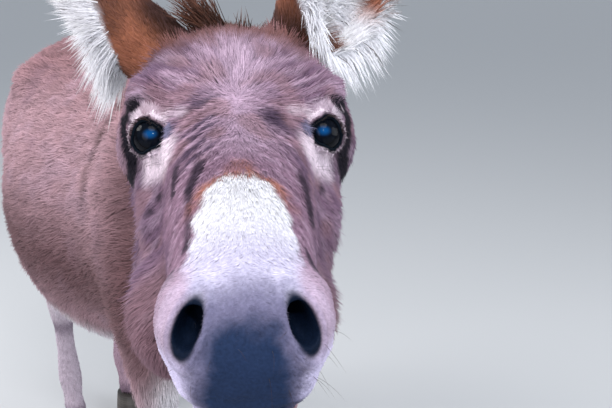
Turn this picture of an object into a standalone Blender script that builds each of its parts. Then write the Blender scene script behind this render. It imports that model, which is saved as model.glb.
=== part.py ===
"""A life-size donkey that stands square with its neck stretched forward and its head turned to its right.

The animal faces -Y, its left side is +X and the floor is z = 0. Every size is in metres and takes in
the coat. The flesh is lofted and blended into one hide, which thin cuts then part into its named pieces.
"""

import math
from collections import namedtuple

import bmesh
import bpy
import numpy as np
from mathutils import Matrix, Vector

# Driving dimensions
WITHERS_HEIGHT = 1.10
GAP = 0.0004  # clearance between two neighbouring pieces
VOXEL = 0.0085  # grid on which the forms are blended
HIDE_TRIANGLES = 3950
RING_POINTS = 28

# Head
HEAD_YAW = math.radians(23.5)  # turned towards the animal's right
HEAD_PITCH = math.radians(14)  # nose below the poll
POLL = Vector((-0.119, -0.774, 1.173))
EYE_RADIUS = 0.0195
EYE_PLACE = (0.212, 0.0825, -0.042)  # forward of the poll, to the side, above the face line
JAW_SWING = -0.009  # the lower jaw is swung towards the animal's right
NOSTRIL_PLACE = (0.480, 0.0385, -0.063)
NOSTRIL_RADII = (0.036, 0.0105, 0.0205)
NOSTRIL_LEAN = math.radians(8)
NOSTRIL_FLARE = math.radians(20)
MOUTH_FRONT = -0.116  # the lips' line below the face line, at the front and below the ear
MOUTH_BACK = -0.176
HEAD_LENGTH = 0.50
THROAT_FORWARD = 0.018  # where the head is parted from the neck, forward of the poll

# Ears: length, and the way each one leans, in degrees
EAR_LENGTH = 0.270
EAR_PLACE = (0.026, 0.083, -0.030)
EAR_SPLAY = {"left": 17, "right": 42}
EAR_BACK = {"left": 8, "right": 14}
EAR_TURN = {"left": 32, "right": 70}  # how far the open side faces outwards from straight ahead

# Legs
KNEE_HEIGHT = 0.318
HOCK_HEIGHT = 0.345
CORONET_HEIGHT = 0.058
FOREFOOT = (0.098, -0.446)  # middle of the foot: to the side, and along the animal
HINDFOOT = (0.084, 0.432)
STEP = {"left": 0.030, "right": -0.030}  # the near and far feet stand a little apart, fore and aft
SIDES = {"left": 1.0, "right": -1.0}
FAR = 3.0  # size of a block that reaches past the whole animal

# Hair that stands in a ridge: half its thickness
MANE_HALF = 0.019
FORELOCK_HALF = 0.020

# A slice of the body: where it is, its half-width, and how far it reaches above and below its centre.
# Fullness squares its upper and lower half (1 is an ellipse, less is fuller, more is peaked).
Slice = namedtuple("Slice", "x y z wide above below upper lower", defaults=(1.0, 1.0))


def clear_scene():
    for obj in list(bpy.data.objects):
        bpy.data.objects.remove(obj, do_unlink=True)


def link(name, bm):
    """An object of this name from a bmesh, with its faces turned outwards."""
    bmesh.ops.recalc_face_normals(bm, faces=bm.faces)
    mesh = bpy.data.meshes.new(name)
    bm.to_mesh(mesh)
    bm.free()
    obj = bpy.data.objects.new(name, mesh)
    bpy.context.scene.collection.objects.link(obj)
    return obj


def helper(obj):
    """Marks an object as a cutter or guide that isn't part of the animal."""
    obj.hide_render = True
    obj.display_type = "WIRE"
    return obj


def material(name, colour, roughness, metallic=0.0):
    made = bpy.data.materials.new(name)
    made.use_nodes = True
    shader = made.node_tree.nodes["Principled BSDF"]
    shader.inputs["Base Color"].default_value = (*colour, 1.0)
    shader.inputs["Roughness"].default_value = roughness
    shader.inputs["Metallic"].default_value = metallic
    made.diffuse_color = (*colour, 1.0)
    return made


def smooth_rows(rows, per_span):
    """Rows of numbers with Catmull-Rom rows added between them."""
    rows = np.array(rows, float)
    ends = np.vstack([2 * rows[0] - rows[1], rows, 2 * rows[-1] - rows[-2]])
    found = []
    for before, start, end, after in zip(ends, ends[1:], ends[2:], ends[3:]):
        for step in range(per_span):
            t = step / per_span
            found.append(
                0.5 * (2 * start + (end - before) * t
                       + (2 * before - 5 * start + 4 * end - after) * t ** 2
                       + (3 * start - before - 3 * end + after) * t ** 3)
            )
    return np.array([*found, rows[-1]])


def power(value, exponent):
    return math.copysign(abs(value) ** exponent, value)


def loft(name, slices, frame_of, per_span=4, points=RING_POINTS):
    """A closed tube through the slices. frame_of(i, centres) gives each ring's sideways and upward axes."""
    rows = smooth_rows(slices, per_span)
    centres = [Vector(row[:3]) for row in rows]
    bm = bmesh.new()
    rings = []
    for i, row in enumerate(rows):
        across, upward = frame_of(i, centres)
        wide, above, below, upper, lower = row[3:]
        ring = []
        for k in range(points):
            angle = 2 * math.pi * k / points
            rise = math.sin(angle)
            fullness = upper if rise > 0 else lower
            reach = above if rise > 0 else below
            ring.append(bm.verts.new(
                centres[i]
                + across * wide * power(math.cos(angle), fullness)
                + upward * reach * power(rise, fullness)
            ))
        rings.append(ring)
    for first, second in zip(rings, rings[1:]):
        for k in range(points):
            bm.faces.new((first[k], first[k - 1], second[k - 1], second[k]))
    bm.faces.new(rings[0])
    bm.faces.new(rings[-1][::-1])
    return link(name, bm)


def upright(i, centres):
    """Rings that stand across the animal, for the trunk."""
    return Vector((1, 0, 0)), Vector((0, 0, 1))


def level(i, centres):
    """Rings that lie flat, for the legs: their upward side faces forwards."""
    return Vector((1, 0, 0)), Vector((0, -1, 0))


def along_path(i, centres):
    """Rings square to the path through their centres, for the neck and tail."""
    before, after = centres[max(i - 1, 0)], centres[min(i + 1, len(centres) - 1)]
    forward = (after - before).normalized()
    across = forward.cross(Vector((0, 0, 1)))
    if across.length < 0.2:
        across = Vector((1, 0, 0))
    across.normalize()
    return across, across.cross(forward)


def ball(name, centre, radii, axes=None, rings=14, segments=20):
    """An ellipsoid, whose axes are the columns of the given matrix."""
    bm = bmesh.new()
    bmesh.ops.create_uvsphere(bm, u_segments=segments, v_segments=rings, radius=1.0)
    turn = (axes or Matrix.Identity(3)).to_4x4()
    placed = Matrix.Translation(centre) @ turn @ Matrix.Diagonal((*radii, 1.0))
    bmesh.ops.transform(bm, matrix=placed, verts=bm.verts)
    return link(name, bm)


def head_axes():
    """Columns: forwards along the face, to the animal's left, and up out of the forehead."""
    forward = Vector((-math.sin(HEAD_YAW) * math.cos(HEAD_PITCH),
                      -math.cos(HEAD_YAW) * math.cos(HEAD_PITCH),
                      -math.sin(HEAD_PITCH)))
    left = Vector((0, 0, 1)).cross(forward).normalized()
    return Matrix((forward, left, forward.cross(left))).transposed()


HEAD = head_axes()


def on_head(forward, side, rise):
    """A place measured from the poll along the head's own axes."""
    return POLL + HEAD @ Vector((forward, side, rise))


def head_ring(i, centres):
    return HEAD.col[1].copy(), HEAD.col[2].copy()


def head_slice(forward, top, bottom, wide, middle, upper=1.0, lower=1.0):
    """A slice across the head, from the heights of its top, bottom and widest line."""
    return Slice(*on_head(forward, 0, middle), wide, top - middle, middle - bottom, upper, lower)


def trunk_form():
    """Breast, withers, round belly, croup and buttocks, as slices from front to back."""
    h = WITHERS_HEIGHT

    def rib(y, top, bottom, wide, middle, upper=1.1, lower=0.95):
        return Slice(0, y, middle * h, wide, (top - middle) * h, (middle - bottom) * h, upper, lower)

    return loft("trunk_form", [
        rib(-0.570, 0.750, 0.645, 0.070, 0.70, 1.0, 1.0),
        rib(-0.535, 0.850, 0.580, 0.130, 0.71),
        rib(-0.450, 0.940, 0.530, 0.172, 0.73),
        rib(-0.350, 0.990, 0.500, 0.192, 0.73, 1.2),
        rib(-0.250, 0.992, 0.460, 0.208, 0.72, 1.3, 0.92),
        rib(-0.120, 0.968, 0.428, 0.240, 0.69, 1.2, 0.92),
        rib(0.020, 0.955, 0.410, 0.262, 0.68, 1.05, 0.92),
        rib(0.150, 0.960, 0.418, 0.260, 0.69, 1.05, 0.92),
        rib(0.270, 0.978, 0.458, 0.232, 0.74, 1.05, 0.95),
        rib(0.370, 0.978, 0.555, 0.208, 0.78, 1.1),
        rib(0.460, 0.950, 0.640, 0.176, 0.80),
        rib(0.530, 0.900, 0.690, 0.130, 0.80),
        rib(0.570, 0.850, 0.730, 0.074, 0.79),
    ], upright)


def neck_form():
    """The neck rises from the shoulders and bends to the animal's right as it nears the poll."""
    throat = POLL + HEAD @ Vector((0.035, 0, -0.108))
    return loft("neck_form", [
        Slice(0.000, -0.270, 0.830, 0.170, 0.220, 0.230),
        Slice(0.000, -0.370, 0.866, 0.158, 0.202, 0.232),
        Slice(-0.006, -0.470, 0.910, 0.136, 0.184, 0.200, 1.15),
        Slice(-0.028, -0.570, 0.960, 0.114, 0.162, 0.172, 1.2),
        Slice(-0.064, -0.670, 1.010, 0.102, 0.142, 0.148, 1.15),
        Slice(throat.x + 0.022, throat.y + 0.048, throat.z - 0.002, 0.098, 0.118, 0.126),
        Slice(*throat, 0.086, 0.090, 0.106),
    ], along_path)


# What stands out on each side of the head: its centre, its radii, and how far the jaw's swing carries it.
HEAD_PAIRS = (
    ("brow", (0.172, 0.086, -0.014), (0.040, 0.026, 0.024), 0),
    ("temple", (0.150, 0.093, -0.078), (0.046, 0.033, 0.054), 0),
    ("chewing", (0.208, 0.061, -0.128), (0.095, 0.042, 0.066), 0),
    ("cheek", (0.105, 0.061, -0.155), (0.092, 0.053, 0.098), JAW_SWING),
    ("jaw", (0.222, 0.058, -0.188), (0.120, 0.048, 0.056), JAW_SWING),
    ("jowl", (0.335, 0.050, -0.156), (0.096, 0.046, 0.046), JAW_SWING),
    ("wing", (0.458, 0.042, -0.074), (0.048, 0.0280, 0.038), 0),
    ("lip", (0.468, 0.024, -0.112), (0.040, 0.030, 0.027), 0),
)


def head_forms():
    """The skull with its straight face line, then what stands out from it."""
    skull = loft("skull_form", [
        head_slice(-0.045, -0.050, -0.165, 0.062, -0.105),
        head_slice(0.000, -0.006, -0.215, 0.092, -0.090),
        head_slice(0.060, 0.015, -0.242, 0.109, -0.080, 0.90, 1.02),
        head_slice(0.120, 0.021, -0.258, 0.117, -0.068, 0.88, 1.06),
        head_slice(0.165, 0.016, -0.256, 0.116, -0.058, 0.88, 1.12),
        head_slice(0.205, 0.007, -0.250, 0.092, -0.056, 0.90, 1.10),
        head_slice(0.235, 0.002, -0.244, 0.080, -0.060, 0.90, 1.02),
        head_slice(0.270, -0.004, -0.234, 0.0745, -0.066, 0.92, 1.00),
        head_slice(0.318, -0.011, -0.214, 0.0685, -0.074, 0.92, 1.02),
        head_slice(0.375, -0.019, -0.192, 0.065, -0.080, 0.95, 1.10),
        head_slice(0.430, -0.025, -0.178, 0.068, -0.080, 0.95, 1.20),
        head_slice(0.468, -0.033, -0.168, 0.068, -0.080, 0.95, 1.25),
        head_slice(0.494, -0.049, -0.158, 0.058, -0.086, 1.0, 1.20),
        head_slice(0.510, -0.073, -0.142, 0.037, -0.100),
    ], head_ring)
    forms = [skull]
    for side, way in SIDES.items():
        for name, (forward, aside, rise), radii, swing in HEAD_PAIRS:
            centre = on_head(forward, aside * way + swing, rise)
            forms.append(ball(f"{side}_{name}_form", centre, radii, HEAD))
    forms += [
        ball("snout_form", on_head(0.486, 0, -0.092), (0.030, 0.044, 0.034), HEAD),
        ball("chin_form", on_head(0.456, 0, -0.150), (0.042, 0.035, 0.025), HEAD),
    ]
    return forms


def muscle_forms():
    """The masses that round the shoulders, hips and buttocks."""
    forms = [ball("withers_form", (0, -0.270, 1.030), (0.050, 0.150, 0.058))]
    for side, way in SIDES.items():
        forms += [
            ball(side + "_shoulder_form", (0.138 * way, -0.375, 0.800), (0.062, 0.105, 0.190)),
            ball(side + "_breast_form", (0.086 * way, -0.500, 0.725), (0.070, 0.056, 0.085)),
            ball(side + "_hip_form", (0.128 * way, 0.270, 0.975), (0.070, 0.090, 0.062)),
            ball(side + "_buttock_form", (0.088 * way, 0.465, 0.830), (0.082, 0.098, 0.185)),
        ]
    return forms


def foreleg_form(side):
    """Shoulder, forearm, knee, cannon, fetlock and pastern, from the top down."""
    way, ahead = SIDES[side], -STEP[side]

    def cut(z, y, x, wide, front, back, step=1.0):
        return Slice(x * way, y + ahead * step, z, wide, front, back)

    return loft(side + "_foreleg_form", [
        cut(0.920, -0.370, 0.100, 0.062, 0.090, 0.090, 0.0),
        cut(0.790, -0.415, 0.124, 0.072, 0.125, 0.125, 0.1),
        cut(0.690, -0.420, 0.126, 0.068, 0.112, 0.125, 0.3),
        cut(0.610, -0.408, 0.119, 0.058, 0.078, 0.092, 0.6),
        cut(0.530, -0.408, 0.112, 0.048, 0.058, 0.064, 0.8),
        cut(0.440, -0.410, 0.106, 0.038, 0.044, 0.045),
        cut(0.375, -0.412, 0.102, 0.035, 0.037, 0.038),
        cut(0.333, -0.413, 0.100, 0.042, 0.045, 0.042),
        cut(0.300, -0.411, 0.100, 0.040, 0.041, 0.044),
        cut(0.262, -0.407, 0.099, 0.029, 0.031, 0.036),
        cut(0.200, -0.405, 0.098, 0.0265, 0.028, 0.034),
        cut(0.150, -0.405, 0.098, 0.034, 0.035, 0.041),
        cut(0.126, -0.411, 0.098, 0.033, 0.034, 0.038),
        cut(0.098, -0.426, 0.098, 0.029, 0.031, 0.031),
        cut(0.072, -0.440, 0.098, 0.034, 0.038, 0.037),
        cut(0.048, -0.447, 0.098, 0.0365, 0.042, 0.040),
    ], level, points=20)


def hindleg_form(side):
    """Thigh, stifle, gaskin, hock, cannon, fetlock and pastern, from the top down."""
    way, ahead = SIDES[side], STEP[side]

    def cut(z, y, x, wide, front, back, step=1.0):
        return Slice(x * way, y + ahead * step, z, wide, front, back)

    return loft(side + "_hindleg_form", [
        cut(0.980, 0.360, 0.090, 0.070, 0.110, 0.120, 0.0),
        cut(0.870, 0.375, 0.114, 0.086, 0.165, 0.175, 0.1),
        cut(0.760, 0.365, 0.127, 0.080, 0.158, 0.166, 0.3),
        cut(0.670, 0.351, 0.127, 0.068, 0.124, 0.130, 0.5),
        cut(0.590, 0.380, 0.118, 0.054, 0.088, 0.086, 0.7),
        cut(0.510, 0.424, 0.106, 0.043, 0.060, 0.060, 0.9),
        cut(0.450, 0.460, 0.097, 0.034, 0.046, 0.062),
        cut(0.418, 0.477, 0.094, 0.036, 0.048, 0.066),
        cut(0.385, 0.485, 0.092, 0.041, 0.050, 0.056),
        cut(0.345, 0.486, 0.090, 0.036, 0.042, 0.046),
        cut(0.300, 0.485, 0.088, 0.029, 0.033, 0.038),
        cut(0.225, 0.482, 0.086, 0.0275, 0.030, 0.035),
        cut(0.158, 0.476, 0.084, 0.035, 0.037, 0.041),
        cut(0.130, 0.468, 0.084, 0.033, 0.034, 0.038),
        cut(0.100, 0.452, 0.084, 0.030, 0.031, 0.031),
        cut(0.072, 0.438, 0.084, 0.034, 0.038, 0.037),
        cut(0.048, 0.431, 0.084, 0.0365, 0.042, 0.040),
    ], level, points=20)


# Low relief on the blended hide: where it is, how far it spreads, and how far it stands out.
# Each one is on both sides. The first table is in the animal's frame, the second from the poll.
BODY_RELIEF = (
    ((0.170, -0.285, 0.930), (0.070, 0.040, 0.120), 0.007),  # edge of the shoulder blade
    ((0.215, -0.195, 0.800), (0.080, 0.045, 0.150), -0.010),  # hollow behind the shoulder
    ((0.060, -0.215, 0.555), (0.110, 0.055, 0.060), -0.012),  # girth
    ((0.210, 0.205, 0.870), (0.080, 0.055, 0.080), -0.015),  # flank
    ((0.160, 0.262, 1.000), (0.050, 0.050, 0.040), 0.003),  # hip bone
    ((0.185, 0.265, 0.680), (0.070, 0.055, 0.070), 0.009),  # stifle
    ((0.000, 0.590, 0.830), (0.024, 0.090, 0.130), -0.020),  # cleft between the buttocks
    ((0.000, -0.570, 0.730), (0.026, 0.060, 0.090), -0.010),  # groove of the breast
    ((0.120, -0.500, 0.850), (0.060, 0.070, 0.060), -0.006),  # hollow between neck and shoulder
)
HEAD_RELIEF = (
    ((0.150, 0.070, 0.004), (0.030, 0.024, 0.030), -0.005),  # hollow above the eye
    ((0.262, 0.080, -0.062), (0.045, 0.030, 0.028), -0.005),  # hollow before the eye
    ((0.245, 0.082, -0.108), (0.075, 0.030, 0.014), 0.004),  # cheekbone
    ((0.405, 0.060, -0.064), (0.036, 0.025, 0.026), -0.005),  # behind the nostril
    ((0.395, 0.040, -0.165), (0.034, 0.040, 0.020), -0.007),  # chin groove
    ((0.180, 0.020, -0.225), (0.090, 0.018, 0.030), -0.012),  # between the jaw bones
)


def blended(name, forms):
    """One closed skin over all the forms, smoothed most where limbs meet the trunk."""
    bpy.ops.object.select_all(action="DESELECT")
    for form in forms:
        form.select_set(True)
    bpy.context.view_layer.objects.active = forms[0]
    bpy.ops.object.join()
    hide = bpy.context.view_layer.objects.active
    hide.name = name
    grid = hide.modifiers.new("blend", "REMESH")
    grid.mode = "VOXEL"
    grid.voxel_size = VOXEL
    apply_modifiers(hide)
    soften(hide, "joins", join_weight, 30)
    soften(hide, "all", lambda points: np.full(len(points), 1.0), 5)
    apply_modifiers(hide)
    emboss(hide)
    coarse = hide.vertex_groups.new(name="coarse")
    set_weights(hide, coarse, coarse_weight)
    fewer = hide.modifiers.new("fewer", "DECIMATE")
    fewer.vertex_group = coarse.name
    fewer.vertex_group_factor = 1.0
    fewer.ratio = HIDE_TRIANGLES / sum(len(face.vertices) - 2 for face in hide.data.polygons)
    apply_modifiers(hide)
    return hide


def emboss(hide):
    """Raises and hollows the hide along its normals."""
    here = places(hide)
    normals = np.empty(len(here) * 3, np.float32)
    hide.data.vertex_normals.foreach_get("vector", normals)
    height = np.zeros(len(here))
    for table, points in ((BODY_RELIEF, here), (HEAD_RELIEF, head_coordinates(here))):
        for centre, spread, amount in table:
            axis = 0 if table is BODY_RELIEF else 1
            mirrored = points.copy()
            mirrored[:, axis] = np.abs(mirrored[:, axis])
            off = (mirrored - np.array(centre)) / np.array(spread)
            height += amount * np.exp(-(off ** 2).sum(axis=1))
    moved = here + normals.reshape(-1, 3) * height[:, None]
    hide.data.vertices.foreach_set("co", moved.astype(np.float32).ravel())
    hide.data.update()


def apply_modifiers(obj):
    graph = bpy.context.evaluated_depsgraph_get()
    mesh = bpy.data.meshes.new_from_object(obj.evaluated_get(graph))
    obj.modifiers.clear()
    obj.data = mesh


def places(obj):
    found = np.empty(len(obj.data.vertices) * 3, np.float32)
    obj.data.vertices.foreach_get("co", found)
    return found.reshape(-1, 3).astype(float)


def set_weights(obj, group, rule):
    for index, weight in enumerate(rule(places(obj))):
        group.add([index], float(weight), "REPLACE")


def soften(obj, name, rule, rounds):
    group = obj.vertex_groups.new(name=name)
    set_weights(obj, group, rule)
    smooth = obj.modifiers.new(name, "SMOOTH")
    smooth.factor = 0.5
    smooth.iterations = rounds
    smooth.vertex_group = group.name


def ramp(value, low, high):
    """0 below low, 1 above high, with a soft step between."""
    t = np.clip((value - low) / (high - low), 0, 1)
    return t * t * (3 - 2 * t)


def head_coordinates(points):
    return (points - np.array(POLL)) @ np.array(HEAD)


def join_weight(points):
    """Full on the trunk, and fading out down the legs and forward of the poll."""
    forward = head_coordinates(points)[:, 0]
    return ramp(points[:, 2], 0.45, 0.60) * (1 - ramp(forward, -0.02, 0.06))


def coarse_weight(points):
    """The body gives up more triangles than the head and the lower legs."""
    forward = head_coordinates(points)[:, 0]
    return 0.75 - 0.33 * ramp(forward, 0.0, 0.08) - 0.15 * ramp(0.45 - points[:, 2], 0.0, 0.1)


def box(name, low, high):
    bm = bmesh.new()
    bmesh.ops.create_cube(bm, size=1.0)
    middle = [(a + b) / 2 for a, b in zip(low, high)]
    size = [b - a for a, b in zip(low, high)]
    bmesh.ops.scale(bm, vec=size, verts=bm.verts)
    bmesh.ops.translate(bm, vec=middle, verts=bm.verts)
    return helper(link(name, bm))


def beyond(name, point, normal, shift=0.0):
    """A large block whose face lies on the plane and which fills the side that the normal points to."""
    normal = Vector(normal).normalized()
    block = box(name, (-FAR, -FAR, 0), (FAR, FAR, FAR))
    turn = normal.to_track_quat("Z", "Y").to_matrix().to_4x4()
    block.data.transform(Matrix.Translation(Vector(point) + normal * shift) @ turn)
    return block


def wedge(name, way, front, back, inner, outer, grow=0.0):
    """The block that a leg is parted by: its roof slopes up from the armpit or groin to the flank.

    front and back are (y at the foot, y at the roof). inner and outer are (x, z) on the roof."""
    floor = CORONET_HEIGHT - 0.02
    x_in, x_out = inner[0] - grow, outer[0] + 0.3
    slope = (outer[1] - inner[1]) / (outer[0] - inner[0])
    z_in, z_out = inner[1] + grow, outer[1] + grow + 0.3 * slope
    bm = bmesh.new()
    corners = []
    for y_low, y_high in ((front[0] - grow, front[1] - grow), (back[0] + grow, back[1] + grow)):
        for x, z in ((x_in, z_in), (x_out, z_out)):
            corners.append(bm.verts.new((x * way, y_low, floor)))
            corners.append(bm.verts.new((x * way, y_high, z)))
    bmesh.ops.convex_hull(bm, input=corners)
    return helper(link(name, bm))


FORE_WEDGE = {
    "front": (-0.75, -0.75), "back": (-0.300, -0.235), "inner": (0.030, 0.595), "outer": (0.20, 0.760),
}
HIND_WEDGE = {
    "front": (0.215, 0.150), "back": (0.90, 0.90), "inner": (0.022, 0.640), "outer": (0.22, 0.800),
}


def cut_with(obj, cutter, operation, name):
    modifier = obj.modifiers.new(name, "BOOLEAN")
    modifier.operation = operation
    modifier.object = cutter
    modifier.solver = "EXACT"
    return modifier


def node(name, source, kept=(), removed=(), worn=None):
    """A named piece of the source mesh: what lies in every kept block and in no removed one."""
    piece = bpy.data.objects.new(name, source.data.copy())
    bpy.context.scene.collection.objects.link(piece)
    for cutter in kept:
        cut_with(piece, cutter, "INTERSECT", "keep_" + cutter.name)
    for cutter in removed:
        cut_with(piece, cutter, "DIFFERENCE", "remove_" + cutter.name)
    finish(piece, worn)
    return piece


def finish(piece, worn):
    piece.data.materials.clear()
    piece.data.materials.append(worn)
    piece.data.shade_smooth()
    piece.data.set_sharp_from_angle(angle=math.radians(40))


def swollen(source, amount):
    """A copy a little larger all over, to cut a neighbour back to a clear fit."""
    copy = bpy.data.objects.new(source.name + "_swollen", source.data.copy())
    bpy.context.scene.collection.objects.link(copy)
    grow = copy.modifiers.new("grow", "DISPLACE")
    grow.strength = amount
    grow.mid_level = 0.0
    apply_modifiers(copy)
    return helper(copy)


# Ear sections from the foot to the tip: share of the length, half-width, half-depth,
# then how far the scoop's centre is ahead and its half-width and half-depth (0 for none).
EAR_ROWS = (
    (-0.14, 0.0410, 0.0380),
    (0.00, 0.0510, 0.0430),
    (0.12, 0.0600, 0.0450),
    (0.28, 0.0680, 0.0430),
    (0.46, 0.0690, 0.0370),
    (0.62, 0.0600, 0.0300),
    (0.77, 0.0460, 0.0235),
    (0.88, 0.0300, 0.0170),
    (0.955, 0.0165, 0.0115),
    (1.00, 0.0050, 0.0050),
)
SCOOP_ROWS = (
    (0.060, 0.0080, 0.0100, 0.030),
    (0.13, 0.0290, 0.0290, 0.027),
    (0.28, 0.0480, 0.0390, 0.025),
    (0.46, 0.0555, 0.0380, 0.022),
    (0.62, 0.0480, 0.0310, 0.018),
    (0.77, 0.0355, 0.0240, 0.014),
    (0.88, 0.0215, 0.0170, 0.010),
    (0.93, 0.0105, 0.0105, 0.007),
)


def ear(side, hide_cutter, worn):
    """A long leaf with a scoop taken out of its open side, which deepens from the foot upwards."""
    way = SIDES[side]
    splay, back, turn = (math.radians(table[side]) for table in (EAR_SPLAY, EAR_BACK, EAR_TURN))
    axes = HEAD @ Matrix.Rotation(-way * splay, 3, "X") @ Matrix.Rotation(-back, 3, "Y")
    axes = axes @ Matrix.Rotation(way * turn, 3, "Z")
    base = on_head(EAR_PLACE[0], EAR_PLACE[1] * way, EAR_PLACE[2])

    def section(share, ahead, wide, deep):
        sway = 0.022 * math.sin(math.pi * max(share, 0.0)) - 0.014 * share
        return Slice(*(base + axes @ Vector((sway + ahead, 0, EAR_LENGTH * share))), wide, deep, deep)

    def across_ear(i, centres):
        return axes.col[1].copy(), axes.col[0].copy()

    outside = [section(t, 0, wide, deep) for t, wide, deep in EAR_ROWS]
    inside = [section(t, ahead, wide, deep) for t, wide, deep, ahead in SCOOP_ROWS]
    leaf = loft(side + "_ear_form", outside, across_ear, per_span=1, points=16)
    scoop = loft(side + "_ear_scoop", inside, across_ear, per_span=1, points=12)
    return node(side + "_ear", helper(leaf), removed=[helper(scoop), hide_cutter], worn=worn)


def ridge(name, spots, half_width, hide_cutter, worn):
    """Upright hair rooted along a line: spots are (root, tip) pairs."""
    bm = bmesh.new()
    rings = []
    for i, (root, tip) in enumerate(spots):
        before, after = spots[max(i - 1, 0)][0], spots[min(i + 1, len(spots) - 1)][0]
        across = (after - before).cross(tip - root).normalized() * half_width
        rings.append([bm.verts.new(p) for p in (
            root - across, root + across, root.lerp(tip, 0.6) + across * 0.75, tip + across * 0.25,
            tip - across * 0.25, root.lerp(tip, 0.6) - across * 0.75)])
    for first, second in zip(rings, rings[1:]):
        for k in range(6):
            bm.faces.new((first[k - 1], first[k], second[k], second[k - 1]))
    bm.faces.new(rings[0])
    bm.faces.new(rings[-1])
    form = helper(link(name + "_form", bm))
    return node(name, form, removed=[hide_cutter], worn=worn)


def mane_spots():
    """Roots along the crest from the poll to the withers, under hair that stands up in uneven clumps."""
    rows = smooth_rows([
        (*on_head(-0.012, 0, -0.030), 0.070),
        (-0.096, -0.700, 1.112, 0.088),
        (-0.054, -0.600, 1.082, 0.086),
        (-0.020, -0.490, 1.055, 0.084),
        (0.000, -0.380, 1.050, 0.070),
        (0.000, -0.300, 1.050, 0.050),
    ], 4)
    found = []
    for i, row in enumerate(rows):
        root = Vector(row[:3])
        clump = 1.0 + 0.06 * math.sin(1.9 * i)
        found.append((root, root + Vector((-0.006, 0.006 * math.sin(1.1 * i), row[3] * clump))))
    return found


def forelock_spots():
    """A short tuft between the ears that leans to the animal's right and forwards."""
    found = []
    for t in (0.0, 0.25, 0.5, 0.75, 1.0):
        root = on_head(0.010 + 0.040 * t, 0.004 - 0.008 * t, -0.020)
        tip = on_head(0.024 + 0.058 * t, 0.004 - 0.030 * t, 0.068 - 0.030 * t)
        found.append((root, tip))
    return found


def tail_forms(hide_cutter, dock_skin, switch_skin):
    """A thin dock that hangs close to the thighs, and the switch of long hair on its last third."""
    dock = helper(loft("tail_form", [
        Slice(0.000, 0.520, 0.985, 0.034, 0.030, 0.030),
        Slice(0.000, 0.572, 0.950, 0.031, 0.028, 0.028),
        Slice(0.002, 0.608, 0.870, 0.026, 0.024, 0.024),
        Slice(0.004, 0.618, 0.780, 0.022, 0.020, 0.020),
        Slice(0.006, 0.616, 0.690, 0.019, 0.018, 0.018),
        Slice(0.007, 0.613, 0.640, 0.019, 0.018, 0.018),
    ], along_path, per_span=2, points=10))
    node("tail", dock, removed=[hide_cutter], worn=dock_skin)
    switch = loft("tail_switch", [
        Slice(0.007, 0.613, 0.637, 0.019, 0.018, 0.018),
        Slice(0.008, 0.612, 0.580, 0.030, 0.027, 0.027),
        Slice(0.009, 0.611, 0.500, 0.035, 0.031, 0.031),
        Slice(0.010, 0.610, 0.430, 0.026, 0.024, 0.024),
        Slice(0.010, 0.610, 0.380, 0.008, 0.008, 0.008),
    ], along_path, per_span=2, points=10)
    finish(switch, switch_skin)


def hoof(name, x, y, worn):
    """A narrow upright hoof with a sloped toe and a flat sole."""
    piece = loft(name, [
        Slice(x, y, CORONET_HEIGHT - GAP, 0.0360, 0.0420, 0.0400),
        Slice(x, y - 0.005, CORONET_HEIGHT * 0.55, 0.0395, 0.0470, 0.0410, 0.95, 0.9),
        Slice(x, y - 0.010, 0.003, 0.0430, 0.0520, 0.0400, 0.92, 0.8),
        Slice(x, y - 0.010, 0.0, 0.0410, 0.0500, 0.0385, 0.92, 0.8),
    ], level, per_span=1, points=20)
    finish(piece, worn)


def centre_on_floor():
    """Moves everything so that the frame's origin is under the middle of the whole animal."""
    bpy.context.view_layer.update()
    graph = bpy.context.evaluated_depsgraph_get()
    shown = [obj for obj in bpy.data.objects if not obj.hide_render]
    corners = [obj.matrix_world @ Vector(c) for obj in shown for c in obj.evaluated_get(graph).bound_box]
    middle = [(min(c[k] for c in corners) + max(c[k] for c in corners)) / 2 for k in range(2)]
    for obj in bpy.data.objects:
        obj.location -= Vector((*middle, 0))


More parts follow.
